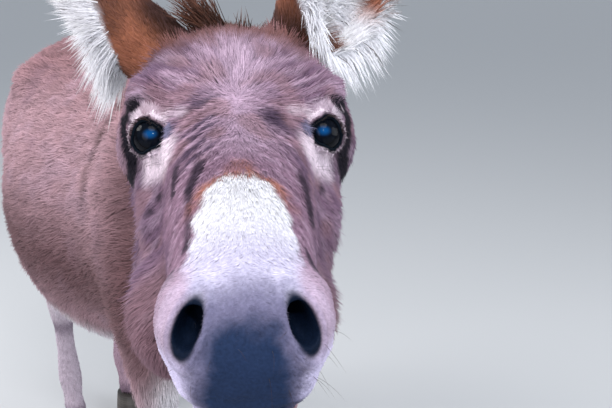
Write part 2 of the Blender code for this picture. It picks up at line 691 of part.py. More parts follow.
def build():
    clear_scene()
    coat = material("coat_grey", (0.33, 0.26, 0.25), 0.85)
    pale = material("coat_pale", (0.74, 0.70, 0.68), 0.85)
    brown = material("ear_brown", (0.30, 0.16, 0.09), 0.85)
    dark = material("mane_dark", (0.09, 0.06, 0.05), 0.80)
    eye_skin = material("eye_dark", (0.010, 0.010, 0.014), 0.08)
    horn = material("hoof_horn", (0.10, 0.09, 0.085), 0.50)

    forms = [trunk_form(), neck_form(), *head_forms(), *muscle_forms()]
    for side in SIDES:
        forms += [foreleg_form(side), hindleg_form(side)]
    hide = helper(blended("hide", forms))
    around = swollen(hide, GAP)

    throat_point, throat_way = on_head(THROAT_FORWARD, 0, 0), HEAD @ Vector((1.0, 0, 0.12))
    breast_point, breast_way = Vector((0, -0.450, 0.930)), Vector((0, -1.0, 0.90))
    jaw_slope = (MOUTH_FRONT - MOUTH_BACK) / HEAD_LENGTH
    jaw_point, jaw_way = on_head(0, 0, MOUTH_BACK), HEAD @ Vector((jaw_slope, 0, -1.0))
    before_throat = beyond("before_throat", throat_point, throat_way, GAP)
    behind_throat = beyond("behind_throat", throat_point, -throat_way, 0)
    before_breast = beyond("before_breast", breast_point, breast_way, GAP)
    behind_breast = beyond("behind_breast", breast_point, -breast_way, 0)
    under_mouth = beyond("under_mouth", jaw_point, jaw_way, 0)
    over_mouth = beyond("over_mouth", jaw_point, -jaw_way, GAP)

    sockets, nostrils = [], []
    for side, way in SIDES.items():
        place = on_head(EYE_PLACE[0], EYE_PLACE[1] * way, EYE_PLACE[2])
        eye = ball(side + "_eye", place, [EYE_RADIUS] * 3, HEAD, rings=8, segments=12)
        finish(eye, eye_skin)
        socket = ball(side + "_socket", place, [EYE_RADIUS + GAP] * 3, HEAD, rings=8, segments=12)
        sockets.append(helper(socket))
        nose = on_head(NOSTRIL_PLACE[0], NOSTRIL_PLACE[1] * way, NOSTRIL_PLACE[2])
        lean = HEAD @ Matrix.Rotation(way * NOSTRIL_LEAN, 3, "X")
        lean = lean @ Matrix.Rotation(way * NOSTRIL_FLARE, 3, "Z")
        nostrils.append(helper(ball(side + "_nostril", nose, NOSTRIL_RADII, lean, rings=8, segments=12)))

    node("head", hide, [before_throat, over_mouth], [*sockets, *nostrils], coat)
    node("lower_jaw", hide, [before_throat, under_mouth], [], pale)
    node("neck", hide, [behind_throat, before_breast], [], coat)

    wedges = []
    for side, way in SIDES.items():
        for part, shape, joint, (near, far), foot, step in (
            ("foreleg", FORE_WEDGE, KNEE_HEIGHT, (-FAR, 0.0), FOREFOOT, -STEP[side]),
            ("hindleg", HIND_WEDGE, HOCK_HEIGHT, (0.0, FAR), HINDFOOT, STEP[side]),
        ):
            stem = f"{side}_{part}"
            region = wedge(stem + "_region", way, **shape)
            wedges.append(wedge(stem + "_wide_region", way, **shape, grow=GAP))
            x_low, x_high = sorted((0.0, FAR * way))
            above = box(stem + "_above", (x_low, near, joint + GAP / 2), (x_high, far, FAR))
            below = box(stem + "_below", (x_low, near, CORONET_HEIGHT), (x_high, far, joint - GAP / 2))
            node(stem + "_upper", hide, [region, above], [], coat)
            node(stem + "_lower", hide, [below], [], coat)
            hoof(stem + "_hoof", foot[0] * way, foot[1] + step, horn)
    node("trunk", hide, [behind_breast], wedges, coat)

    for side in SIDES:
        ear(side, around, brown)
    ridge("mane", mane_spots(), MANE_HALF, around, dark)
    ridge("forelock", forelock_spots(), FORELOCK_HALF, around, dark)
    tail_forms(around, coat, dark)
    centre_on_floor()


if __name__ == "__main__":
    build()
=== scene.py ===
"""The looks of a life-size donkey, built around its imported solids.

Each operator makes one piece or a group of like pieces: the skin, the eyes and their lids, the short
coat, the long hair, the hooves and the studio. The animal faces -Y, its left side is +X and the floor is
z = 0. Sizes are in metres. Every random choice is seeded, so each run gives the same animal.
"""

import math

import bpy
import numpy as np
from bpy.props import FloatProperty, FloatVectorProperty, IntProperty, PointerProperty
from mathutils import Matrix, Vector
from mathutils.bvhtree import BVHTree


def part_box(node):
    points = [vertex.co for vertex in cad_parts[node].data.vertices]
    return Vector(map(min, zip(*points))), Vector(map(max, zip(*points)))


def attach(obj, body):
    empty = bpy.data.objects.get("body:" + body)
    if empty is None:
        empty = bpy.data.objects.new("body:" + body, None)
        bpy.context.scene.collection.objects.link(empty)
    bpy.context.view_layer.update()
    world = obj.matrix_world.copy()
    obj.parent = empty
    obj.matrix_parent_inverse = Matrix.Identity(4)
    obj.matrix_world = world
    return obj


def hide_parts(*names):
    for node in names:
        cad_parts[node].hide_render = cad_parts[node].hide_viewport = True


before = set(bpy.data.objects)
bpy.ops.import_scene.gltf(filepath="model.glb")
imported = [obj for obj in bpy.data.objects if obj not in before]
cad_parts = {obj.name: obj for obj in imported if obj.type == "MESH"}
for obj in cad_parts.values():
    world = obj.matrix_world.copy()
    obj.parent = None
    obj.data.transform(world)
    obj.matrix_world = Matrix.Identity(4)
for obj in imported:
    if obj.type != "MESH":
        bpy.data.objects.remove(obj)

bl_info = {
    "name": "Donkey",
    "version": (1, 0, 0),
    "blender": (4, 5, 0),
    "location": "3D View > Sidebar > Donkey",
    "description": "Skin, eyes, coat, mane, hooves and studio for a standing donkey",
    "category": "Object",
}

# The animal's build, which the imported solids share
SIDES = {"left": 1.0, "right": -1.0}
HEAD_YAW = math.radians(23.5)
HEAD_PITCH = math.radians(14)
EYE_FROM_POLL = (0.212, 0.0825, -0.042)  # forwards, to the side, and up out of the face
EYE_RADIUS = 0.0195
GAZE_OUT = math.radians(28)  # the middle of the lids' opening
GAZE_UP = math.radians(12)
LOOK_OUT = math.radians(-1)  # where the pupils point, and with them the painted reflection of the sky
LOOK_UP = math.radians(33)
REFLECTION_ACROSS = math.radians(14)  # half the width and height of the painted sky reflection over the pupil
REFLECTION_UP = math.radians(10)
NOSTRIL_FROM_POLL = (0.480, 0.0385, -0.063)
NOSTRIL_RADII = (0.036, 0.0105, 0.0205)
NOSTRIL_LEAN = math.radians(8)
NOSTRIL_FLARE = math.radians(20)
MOUTH_RISE = -0.183  # the line of the lips below the poll, and how much it climbs towards the front
MOUTH_CLIMB = 0.12
WHORL = (0.222, 0.0)  # the hair of the forehead parts from here
EAR_LENGTH = 0.270
EAR_FROM_POLL = (0.026, 0.083, -0.030)
EAR_SPLAY = {"left": 17, "right": 42}
EAR_BACK = {"left": 8, "right": 14}
EAR_TURN = {"left": 32, "right": 70}
EAR_SHARES = (-0.14, 0.0, 0.12, 0.28, 0.46, 0.62, 0.77, 0.88, 0.955, 1.0)
EAR_HALF_WIDTHS = (0.041, 0.051, 0.060, 0.068, 0.069, 0.060, 0.046, 0.030, 0.0165, 0.005)
SCOOP_SHARES = (0.06, 0.13, 0.28, 0.46, 0.62, 0.77, 0.88, 0.93)
SCOOP_HALF_WIDTHS = (0.008, 0.029, 0.048, 0.0555, 0.048, 0.0355, 0.0215, 0.0105)
SCOOP_HALF_DEPTHS = (0.010, 0.029, 0.039, 0.038, 0.031, 0.024, 0.017, 0.0105)
SCOOP_AHEAD = (0.030, 0.027, 0.025, 0.022, 0.018, 0.014, 0.010, 0.007)

LIMBS = [f"{side}_{limb}_{part}" for side in SIDES for limb in ("foreleg", "hindleg")
         for part in ("upper", "lower")]
FLESH = ["head", "lower_jaw", "neck", "trunk", "left_ear", "right_ear", "tail", *LIMBS]
EYES = ["left_eye", "right_eye"]


def axes_of_head():
    forward = Vector((-math.sin(HEAD_YAW) * math.cos(HEAD_PITCH),
                      -math.cos(HEAD_YAW) * math.cos(HEAD_PITCH),
                      -math.sin(HEAD_PITCH)))
    left = Vector((0, 0, 1)).cross(forward).normalized()
    return Matrix((forward, left, forward.cross(left))).transposed()


def middle_of(node):
    low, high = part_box(node)
    return (Vector(low) + Vector(high)) / 2


HEAD = axes_of_head()
POLL = ((middle_of("left_eye") + middle_of("right_eye")) / 2
        - HEAD @ Vector((EYE_FROM_POLL[0], 0, EYE_FROM_POLL[2])))
HEAD_NP, POLL_NP = np.array(HEAD), np.array(POLL)


def on_head(forward, side, rise):
    return POLL + HEAD @ Vector((forward, side, rise))


# ---------------------------------------------------------------- numbers over space


def ramp(value, low, high):
    """0 below low, 1 above high, with a soft step between."""
    t = np.clip((value - low) / (high - low), 0, 1)
    return t * t * (3 - 2 * t)


def bump(value, centre, half):
    """1 at the centre, fading to 0 at this distance from it."""
    return ramp(-np.abs(value - centre), -half, 0)


def spot(points, centre, spread):
    """A soft blob round a place."""
    off = (points - np.array(centre)) / np.array(spread)
    return np.exp(-(off ** 2).sum(axis=1))


def unit(vectors):
    """The same directions with length 1."""
    return vectors / np.maximum(np.linalg.norm(vectors, axis=1), 1e-9)[:, None]


def mix(first, second, share):
    """The first colours where the share is 0 and the second where it is 1."""
    share = np.asarray(share)[:, None]
    return first * (1 - share) + np.asarray(second) * share


class Grain:
    """Smooth repeatable noise between -1 and 1, from a lattice of random numbers."""

    def __init__(self, seed, size=24):
        self.size = size
        self.table = np.random.default_rng(seed).uniform(-1, 1, (size, size, size))

    def __call__(self, points, scale):
        place = np.asarray(points) / np.asarray(scale)
        cell = np.floor(place).astype(int)
        t = place - cell
        t = t * t * (3 - 2 * t)
        total = np.zeros(len(place))
        for dx in (0, 1):
            for dy in (0, 1):
                for dz in (0, 1):
                    weight = (t[:, 0] if dx else 1 - t[:, 0]) * (t[:, 1] if dy else 1 - t[:, 1])
                    weight = weight * (t[:, 2] if dz else 1 - t[:, 2])
                    corner = (cell + (dx, dy, dz)) % self.size
                    total += weight * self.table[corner[:, 0], corner[:, 1], corner[:, 2]]
        return total * 1.6


def head_coordinates(points):
    """Forward of the poll, to the side, and above it, along the head's axes."""
    return (points - POLL_NP) @ HEAD_NP


def share_of_head(place, low, high):
    """1 on the head and 0 behind it and below it, by how far the place lies ahead of the poll."""
    return ramp(place[:, 0], low, high) * ramp(place[:, 2], -0.40, -0.33)


def part_of(labels, *names):
    """Which places belong to these nodes."""
    return np.isin(labels, [FLESH.index(name) for name in names])


def ear_axes(side):
    """Columns: out of the open side, across the ear, and along it to the tip."""
    way = SIDES[side]
    splay, back, turn = (math.radians(table[side]) for table in (EAR_SPLAY, EAR_BACK, EAR_TURN))
    axes = HEAD @ Matrix.Rotation(-way * splay, 3, "X") @ Matrix.Rotation(-back, 3, "Y")
    return np.array(axes @ Matrix.Rotation(way * turn, 3, "Z"))


def ear_base(side):
    return np.array(on_head(EAR_FROM_POLL[0], EAR_FROM_POLL[1] * SIDES[side], EAR_FROM_POLL[2]))


def ear_sway(share):
    """How far the ear's middle line bows out of the open side, by the share of its length."""
    return 0.022 * np.sin(np.pi * np.maximum(share, 0)) - 0.014 * share


def ear_coordinates(side, points):
    """Share of the ear's length, ahead of its middle line, and across it."""
    local = (points - ear_base(side)) @ ear_axes(side)
    share = local[:, 2] / EAR_LENGTH
    return share, local[:, 0] - ear_sway(share), local[:, 1]


def hollow_coordinates(side, points):
    """Share of the ear's length, ahead of its middle line, and across it in half widths of the hollow."""
    share, ahead, across = ear_coordinates(side, points)
    return share, ahead, across / np.interp(share, SCOOP_SHARES, SCOOP_HALF_WIDTHS)


def inside_ear(side, points):
    """1 in the hollow of the ear, 0 on its back."""
    share, ahead, across = hollow_coordinates(side, points)
    deep = np.interp(share, SCOOP_SHARES, SCOOP_HALF_DEPTHS)
    reach = ((ahead - np.interp(share, SCOOP_SHARES, SCOOP_AHEAD)) / deep) ** 2 + across ** 2
    return ramp(-reach, -2.2, -1.6) * ramp(share, 0.03, 0.07) * (share < 1.02)


def far_rim(side, points):
    """1 on the outer wall of the left ear's hollow, which stays brown."""
    share, _, across = hollow_coordinates(side, points)
    return ramp(across, 0.85, 1.05) * ramp(share, 0.18, 0.30) * (side == "left")


def deep_in_ear(side, points):
    """1 on the floor of the hollow, away from its foot and its rims, where the ear's painted shade lies."""
    share, _, across = hollow_coordinates(side, points)
    return inside_ear(side, points) * ramp(share, 0.52, 0.66) * ramp(-np.abs(across), -0.80, -0.45)


def eye_axes(side, out=GAZE_OUT, rise=GAZE_UP):
    """Columns: out of the middle of the lids' opening, or as given, then towards the ear, and up."""
    way = SIDES[side]
    gaze = HEAD @ Vector((math.cos(out) * math.cos(rise), way * math.sin(out) * math.cos(rise),
                          math.sin(rise)))
    back = HEAD @ Vector((-math.sin(out), way * math.cos(out), 0))
    up = gaze.cross(back) * way
    return np.array(Matrix((gaze, back, up * (1 if up.dot(HEAD.col[2]) > 0 else -1))).transposed())


def eye_middle(side):
    return np.array(middle_of(side + "_eye"))


# The opening of the lids in degrees off the gaze, by the turn round it: 0 is the back corner and 90 the top.
# The lower lid runs straight up from the back towards the front corner, which is drawn out.
LID_TURNS = (-180, -150, -125, -100, -75, -45, -15, 15, 35, 60, 85, 115, 145, 165, 180)
LID_LIMITS = (54, 36, 33, 39, 44, 42, 36, 33, 41, 60, 62, 59, 68, 70, 54)


def lid_reach(back_angle, up_angle):
    """0 on the rim of the lids, -1 in the middle of the opening, more outside."""
    turn = np.degrees(np.arctan2(up_angle, back_angle))
    return np.degrees(np.hypot(back_angle, up_angle)) / np.interp(turn, LID_TURNS, LID_LIMITS) - 1


def eye_view(side, points):
    """Distance from the eye's middle and the two angles off its gaze, towards the ear and up."""
    local = (points - eye_middle(side)) @ eye_axes(side)
    reach = np.linalg.norm(local, axis=1)
    back_angle = np.arctan2(local[:, 1], local[:, 0])
    up_angle = np.arcsin(np.clip(local[:, 2] / np.maximum(reach, 1e-6), -1, 1))
    return reach, back_angle, up_angle


# ---------------------------------------------------------------- meshes as arrays


def arrays_of(mesh):
    """Points and triangles of a mesh."""
    mesh.calc_loop_triangles()
    points = np.empty(len(mesh.vertices) * 3, np.float32)
    mesh.vertices.foreach_get("co", points)
    triangles = np.empty(len(mesh.loop_triangles) * 3, np.int32)
    mesh.loop_triangles.foreach_get("vertices", triangles)
    return points.reshape(-1, 3).astype(float), triangles.reshape(-1, 3)


def mesh_from(name, points, triangles):
    mesh = bpy.data.meshes.new(name)
    mesh.vertices.add(len(points))
    mesh.vertices.foreach_set("co", np.asarray(points, np.float32).ravel())
    mesh.loops.add(len(triangles) * 3)
    mesh.loops.foreach_set("vertex_index", np.asarray(triangles, np.int32).ravel())
    mesh.polygons.add(len(triangles))
    mesh.polygons.foreach_set("loop_start", np.arange(0, len(triangles) * 3, 3, dtype=np.int32))
    mesh.update(calc_edges=True)
    mesh.polygons.foreach_set("use_smooth", np.full(len(triangles), True))
    return mesh


def linked(name, data):
    """An object with this data, put into the scene."""
    added = bpy.data.objects.new(name, data)
    bpy.context.scene.collection.objects.link(added)
    return added


def piece_from(name, points, triangles, material):
    mesh = mesh_from(name, points, triangles)
    mesh.materials.append(material)
    made = linked(name, mesh)
    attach(made, "root")
    return made


def modified(obj):
    """Points and triangles of an object after its modifiers. The object itself is removed."""
    evaluated = obj.evaluated_get(bpy.context.evaluated_depsgraph_get())
    result = arrays_of(evaluated.to_mesh())
    evaluated.to_mesh_clear()
    bpy.data.objects.remove(obj)
    return result


def set_colours(mesh, colours, name="fur"):
    layer = mesh.color_attributes.new(name, "FLOAT_COLOR", "POINT")
    rgba = np.ones((len(colours), 4), np.float32)
    rgba[:, :3] = np.clip(colours, 0, 1)
    layer.data.foreach_set("color", rgba.ravel())


def set_unwrap(mesh, corners):
    """corners holds a place on the unwrap for each corner of each triangle."""
    layer = mesh.uv_layers.new(name="OFBake")
    layer.data.foreach_set("uv", np.asarray(corners, np.float32).ravel())


def edges_of(triangles):
    """Unique edges, and for each triangle the index of its edges."""
    ends = np.concatenate([triangles[:, [0, 1]], triangles[:, [1, 2]], triangles[:, [2, 0]]])
    ends.sort(axis=1)
    count = int(ends.max()) + 1
    keys, index = np.unique(ends[:, 0].astype(np.int64) * count + ends[:, 1], return_inverse=True)
    return np.stack([keys // count, keys % count], axis=1), index.reshape(3, -1).T


def normals_of(points, triangles):
    """Normals at the points, from their triangles in proportion to area."""
    a, b, c = (points[triangles[:, k]] for k in range(3))
    face = np.cross(b - a, c - a)
    total = np.zeros_like(points)
    for k in range(3):
        for axis in range(3):
            total[:, axis] += np.bincount(triangles[:, k], face[:, axis], len(points))
    return unit(total)


def smoothed(points, triangles, weight, rounds):
    """Each point drawn towards its neighbours' middle, as far as its weight."""
    edges, _ = edges_of(triangles)
    first, second = edges[:, 0], edges[:, 1]
    degree = np.maximum(np.bincount(edges.ravel(), minlength=len(points)), 1)
    points = points.copy()
    share = np.broadcast_to(weight, len(points))[:, None]
    for _ in range(rounds):
        total = np.empty_like(points)
        for axis in range(3):
            total[:, axis] = (np.bincount(first, points[second, axis], len(points))
                              + np.bincount(second, points[first, axis], len(points)))
        points += (total / degree[:, None] - points) * share
    return points


def refined(points, triangles, wanted):
    """Splits each edge that is longer than wanted(middle of the edge)."""
    edges, index = edges_of(triangles)
    middle = (points[edges[:, 0]] + points[edges[:, 1]]) / 2
    long = np.linalg.norm(points[edges[:, 0]] - points[edges[:, 1]], axis=1) > wanted(middle)
    numbers = np.full(len(edges), -1)
    numbers[long] = len(points) + np.arange(long.sum())
    points = np.vstack([points, middle[long]])
    split = numbers[index]
    marks = split >= 0
    count = marks.sum(axis=1)
    found = [triangles[count == 0]]
    every = count == 3
    t, m = triangles[every], split[every]
    found += [np.stack([t[:, 0], m[:, 0], m[:, 2]], 1), np.stack([m[:, 0], t[:, 1], m[:, 1]], 1),
              np.stack([m[:, 2], m[:, 1], t[:, 2]], 1), np.stack([m[:, 0], m[:, 1], m[:, 2]], 1)]
    for k in range(3):
        order = [k, (k + 1) % 3, (k + 2) % 3]
        one = (count == 1) & marks[:, k]
        t, m = triangles[one][:, order], split[one][:, k]
        found += [np.stack([t[:, 0], m, t[:, 2]], 1), np.stack([m, t[:, 1], t[:, 2]], 1)]
        two = (count == 2) & marks[:, k] & marks[:, order[1]]
        t, m, n = triangles[two][:, order], split[two][:, k], split[two][:, order[1]]
        found += [np.stack([t[:, 0], m, n], 1), np.stack([m, t[:, 1], n], 1),
                  np.stack([t[:, 0], n, t[:, 2]], 1)]
    return points, np.concatenate(found)


# ---------------------------------------------------------------- markings


def colour(name):
    return np.array(getattr(bpy.context.scene.donkey_colours, name)[:3])


# The dark arc outside each eye, dark hair with painted shadow behind the rim of the orbit, as lines on the
# head with half its width
CRESCENT = (((0.199, 0.0985, -0.011), (0.177, 0.1100, -0.031), 0.0050),
            ((0.177, 0.1100, -0.031), (0.169, 0.1160, -0.050), 0.0070),
            ((0.169, 0.1160, -0.050), (0.184, 0.1110, -0.068), 0.0085),
            ((0.184, 0.1110, -0.068), (0.190, 0.1060, -0.084), 0.0100),
            ((0.190, 0.1060, -0.084), (0.182, 0.1090, -0.104), 0.0100),
            ((0.182, 0.1090, -0.104), (0.160, 0.1120, -0.120), 0.0070))
TEAR_TRACK = ((0.256, 0.067, -0.042), (0.217, 0.087, -0.074))  # pale hair below the front corner of the eye
# Pale fold between the lids and the dark arc
LID_FOLD = (((0.200, 0.0950, -0.022), (0.188, 0.1045, -0.034)),
            ((0.188, 0.1045, -0.034), (0.185, 0.1065, -0.050)),
            ((0.185, 0.1065, -0.050), (0.194, 0.1030, -0.066)))
EYE_CORNER = (0.238, 0.069, -0.026)  # bare dark skin in front of the lids
BROW = ((0.204, 0.090, -0.013), (0.229, 0.056, -0.010))  # pale fold over the eye
# Dark streaks and spots beside the nose and on the cheeks, as lines with half their width; right is minus
STREAKS = (((0.316, -0.035, -0.019), (0.342, -0.045, -0.029), 0.0060),
           ((0.342, -0.045, -0.029), (0.414, -0.047, -0.040), 0.0055),
           ((0.300, -0.056, -0.036), (0.330, -0.060, -0.045), 0.0050),
           ((0.280, -0.068, -0.066), (0.258, -0.076, -0.086), 0.0035),
           ((0.290, -0.074, -0.080), (0.262, -0.086, -0.100), 0.0035),
           ((0.436, -0.058, -0.048), (0.452, -0.058, -0.048), 0.0060),
           ((0.318, 0.058, -0.038), (0.352, 0.061, -0.056), 0.0085),
           ((0.412, 0.055, -0.050), (0.434, 0.055, -0.051), 0.0070),
           ((0.250, 0.080, -0.085), (0.275, 0.076, -0.075), 0.0040),
           ((0.335, 0.082, -0.134), (0.348, 0.080, -0.130), 0.0065))
WAVE_LENGTH = 0.0145  # of the forehead's short waves
EAR_FOOT = {"left": (-0.27, -0.10), "right": (-0.40, -0.16)}  # shares over which the dark foot fades upwards
BAND_FORWARD = (0.339, 0.343, 0.349, 0.356, 0.368, 0.400, 0.437, 0.459, 0.480)  # along the white band
BAND_HALF = (0.0, 0.015, 0.023, 0.0275, 0.033, 0.039, 0.0435, 0.0495, 0.075)  # half its width there


def body_colours(points, labels, patchy, fine):
    """Brown-grey above, lighter on the ribs, with painted shade along the lower flank, and pale underneath.
    """
    z, dark, pale = points[:, 2], colour("dark"), colour("pale")
    body = np.tile(colour("body"), (len(points), 1))
    body = mix(body, colour("body_top"), ramp(z, 0.93, 1.06) * 0.75)
    body = mix(body, dark * 1.4, ramp(patchy, 0.25, 0.9) * 0.22)
    body = mix(body, pale, ramp(-patchy, 0.2, 0.9) * 0.22)
    along, over = points[:, 1] - 0.45 * z, 0.45 * points[:, 1] + z
    strands = fine(np.stack([along / 0.055, over / 0.011, points[:, 0] / 0.014], 1), 1.0)
    body = body * (1 - 0.13 * np.clip(strands, -1, 1))[:, None]
    # Painted shade: a dark band along the lower flank, where the barrel curves under
    body = mix(body, colour("body_top") * 0.42, bump(z + 0.02 * patchy, 0.69, 0.17) * 0.90)
    fore = ramp(-points[:, 1], 0.02, 0.20) * ramp(z, 0.45, 0.60)
    body = mix(body, colour("body_top") * 0.50, fore * 0.95)

    # White belly and insides of the legs, paler lower legs with dark rings over knee and hoof
    aside = -np.abs(points[:, 0])
    belly = ramp(-z, -0.575, -0.50) * ramp(z, 0.36, 0.42) * ramp(aside, -0.235, -0.12)
    limb = part_of(labels, *LIMBS)
    belly = np.where(limb, ramp(-z, -0.60, -0.50) * ramp(aside, -0.105, -0.060), belly)
    body = mix(body, colour("white") * 0.92, belly * 0.85)
    body = mix(body, pale * 0.92, ramp(-z, -0.42, -0.30) * 0.6)
    body = mix(body, dark, np.clip(bump(z, 0.30, 0.03) + bump(z, 0.07, 0.03), 0, 1) * 0.55)

    # A dark stripe along the spine and one across the shoulders
    spine = ramp(-np.abs(points[:, 0] + 0.008 * patchy - 0.047), -0.022, -0.010) * ramp(z, 0.96, 1.01)
    cross = bump(points[:, 1], 0.020 + 0.012 * patchy, 0.020) * ramp(z, 0.76, 0.90)
    return mix(body, colour("brown"), np.maximum(spine, cross * 0.8) * 0.8)


def forehead_colours(points, place, coarse, fine):
    """Lilac grey with dark streaks, short waves below the whorl and rays above it."""
    f, side_of, s, r = place[:, 0], place[:, 1], np.abs(place[:, 1]), place[:, 2]
    grey, pale, dark = colour("grey"), colour("pale"), colour("dark")
    flat = np.stack([f, side_of], 1)
    face = np.tile(grey, (len(points), 1))
    forehead = ramp(-f, -0.33, -0.30)
    top = ramp(-s, -0.078, -0.055) * ramp(r, -0.075, -0.050)
    face = mix(face, dark, ramp(s, 0.045, 0.090) * forehead * np.where(side_of > 0, 0.30, 0.50))
    face = mix(face, dark, ramp(-r, 0.05, 0.09) * ramp(-r, -0.17, -0.12) * 0.32)

    # Short waves cross the forehead below the whorl, darkest on the right, and bow down towards the side
    bow = f - 0.55 * s + 0.0035 * coarse(points, 0.022)
    waves = np.sin(bow * 2 * math.pi / WAVE_LENGTH) * 0.85
    waves = waves + 0.45 * fine(np.stack([f / 0.006, s / 0.02, 0 * f], 1), 1.0)
    short = ramp(-f, -0.325, -0.295)
    right_side = ramp(f, 0.195, 0.222) * short * bump(-side_of, 0.036, 0.028) * top
    left_side = ramp(f, 0.215, 0.240) * short * bump(side_of, 0.044, 0.024) * top
    face = mix(face, dark, right_side * 0.30)
    strength = ramp(waves, -0.30, 0.40) * (1.7 * right_side + 0.5 * left_side)
    face = mix(face, dark * 0.65, np.clip(strength, 0, 0.95))
    face = mix(face, dark, ramp(waves, -0.2, 0.6) * 0.18 * top)
    face = mix(face, pale, ramp(-waves, 0.1, 1.0) * 0.35 * top)

    # Rays spread from the whorl towards the crown, and fine strands run down the cheeks
    from_whorl = np.hypot(f - WHORL[0], s * 1.15)
    around = np.arctan2(side_of, f - WHORL[0])
    rays = fine(np.stack([around * 9.0, from_whorl / 0.045, np.zeros(len(f))], 1), 1.0)
    rays += 0.6 * coarse(np.stack([around * 21.0, from_whorl / 0.030, np.ones(len(f))], 1), 1.0)
    above = ramp(-f, -0.225, -0.185)
    face = mix(face, dark * 1.25, ramp(rays, 0.05, 0.9) * above * 0.55)
    face = mix(face, pale, ramp(-rays, 0.1, 0.9) * above * 0.40)
    strands = fine(np.stack([f / 0.008, s / 0.02, r / 0.045], 1), 1.0)
    face = mix(face, dark * 1.2, ramp(strands, 0.1, 0.9) * (1 - top) * (1 - above) * 0.45)
    face = mix(face, pale, ramp(-strands, 0.1, 0.9) * (1 - top) * 0.22)

    # Pale middle, dark spots, a fawn tinge, streaks beside the nose and a brown crown
    fan = spot(flat, (0.150, 0.002), (0.085, 0.030)) + spot(flat, (0.240, 0.0), (0.040, 0.014)) * 0.35
    face = mix(face, pale * 1.1, np.clip(fan, 0, 1) * 0.75)
    face = mix(face, pale, spot(flat, (0.280, 0.008), (0.035, 0.026)) * 0.45)
    face = mix(face, dark * 0.65, np.clip(spot(flat, (0.250, 0.037), (0.014, 0.014)) * 1.5, 0, 0.95))
    face = mix(face, dark * 0.8, spot(flat, (0.220, 0.042), (0.007, 0.018)) * 0.4)
    face = mix(face, dark, np.clip(spot(flat, (0.292, 0.056), (0.022, 0.006)), 0, 0.6))
    warm = ramp(fine(points, 0.020), 0.0, 0.7) * (1 - ramp(f, 0.28, 0.34))
    face = mix(face, colour("warm"), warm * 0.45)
    for start, end, wide in STREAKS:
        streak = ramp(-distance_to_line(place, start, end) / wide, -1.6, -0.7)
        face = mix(face, dark * 0.30, streak * 0.95)
    crown = mix(colour("brown")[None], colour("rust"), [0.45])[0] * 1.3
    face = mix(face, crown, ramp(-f, -0.120, -0.060) * 0.65)
    face = mix(face, pale, ramp(-r, 0.165, 0.215) * 0.35)
    return mix(face, colour("warm") * 0.6, ramp(-r, 0.085, 0.11) * ramp(f, 0.315, 0.36) * 0.7)


def nose_colours(face, place, rough):
    """A white band that widens towards the nostrils, rusty at its top and turning to painted shade at its
    lower end, painted light on the lips of the chin, and the grey and black nose below.
    """
    f, s, r = place[:, 0], np.abs(place[:, 1]), place[:, 2]
    ragged = 0.002 * rough
    edge = (np.interp(f, BAND_FORWARD, BAND_HALF) - s + 0.0025 * rough) / 0.007
    low = np.interp(f, (0.43, 0.455, 0.49), (-0.050, -0.125, -0.19))
    white = ramp(edge, -0.5, 0.5) * ramp(r - low, -0.012, 0.012) * ramp(f + ragged, 0.340, 0.347)
    rim = ramp(edge, -2.8, -0.3) * ramp(f, 0.314, 0.338) * ramp(-f, -0.385, -0.350) * ramp(rough, -1.6, 0.0)
    face = mix(face, colour("rust"), rim * 0.85)
    # Painted shade: the white band turns lilac grey towards the nostrils, where the nose turns away from the
    # light
    shaded = np.tile(colour("white") * 0.85, (len(face), 1))
    face = mix(face, mix(shaded, colour("lip"), ramp(f, 0.375, 0.455) * 0.85), white)
    flank = ramp(f, 0.425, 0.460) * ramp(s, 0.034, 0.046) * ramp(r, -0.13, -0.08)
    face = mix(face, colour("pale") * 0.82, flank * 0.85)
    # Painted light: the lips on the chin are painted half again as bright, lighting them where they lie in
    # shade
    chin = ramp(-r, 0.068, 0.095) * ramp(f, 0.44, 0.48)
    face = mix(face, colour("lip") * 1.5, chin * white * 0.8)
    tall = np.interp(f, (0.45, 0.480, 0.50), (0.014, 0.030, 0.042)) + ragged
    lilac = ramp(f + ragged, 0.448, 0.486) * ramp(tall - s, -0.012, 0.008) * ramp(r, -0.150, -0.130)
    face = mix(face, colour("nose_grey"), lilac)
    wide = np.interp(r, (-0.145, -0.115, -0.075, -0.055), (0.029, 0.031, 0.027, 0.022)) + ragged
    leather = ramp(f + ragged, 0.482, 0.501) * ramp(wide - s, -0.010, 0.006) * ramp(r, -0.155, -0.145)
    return mix(face, colour("nose_dark"), leather * 0.97)


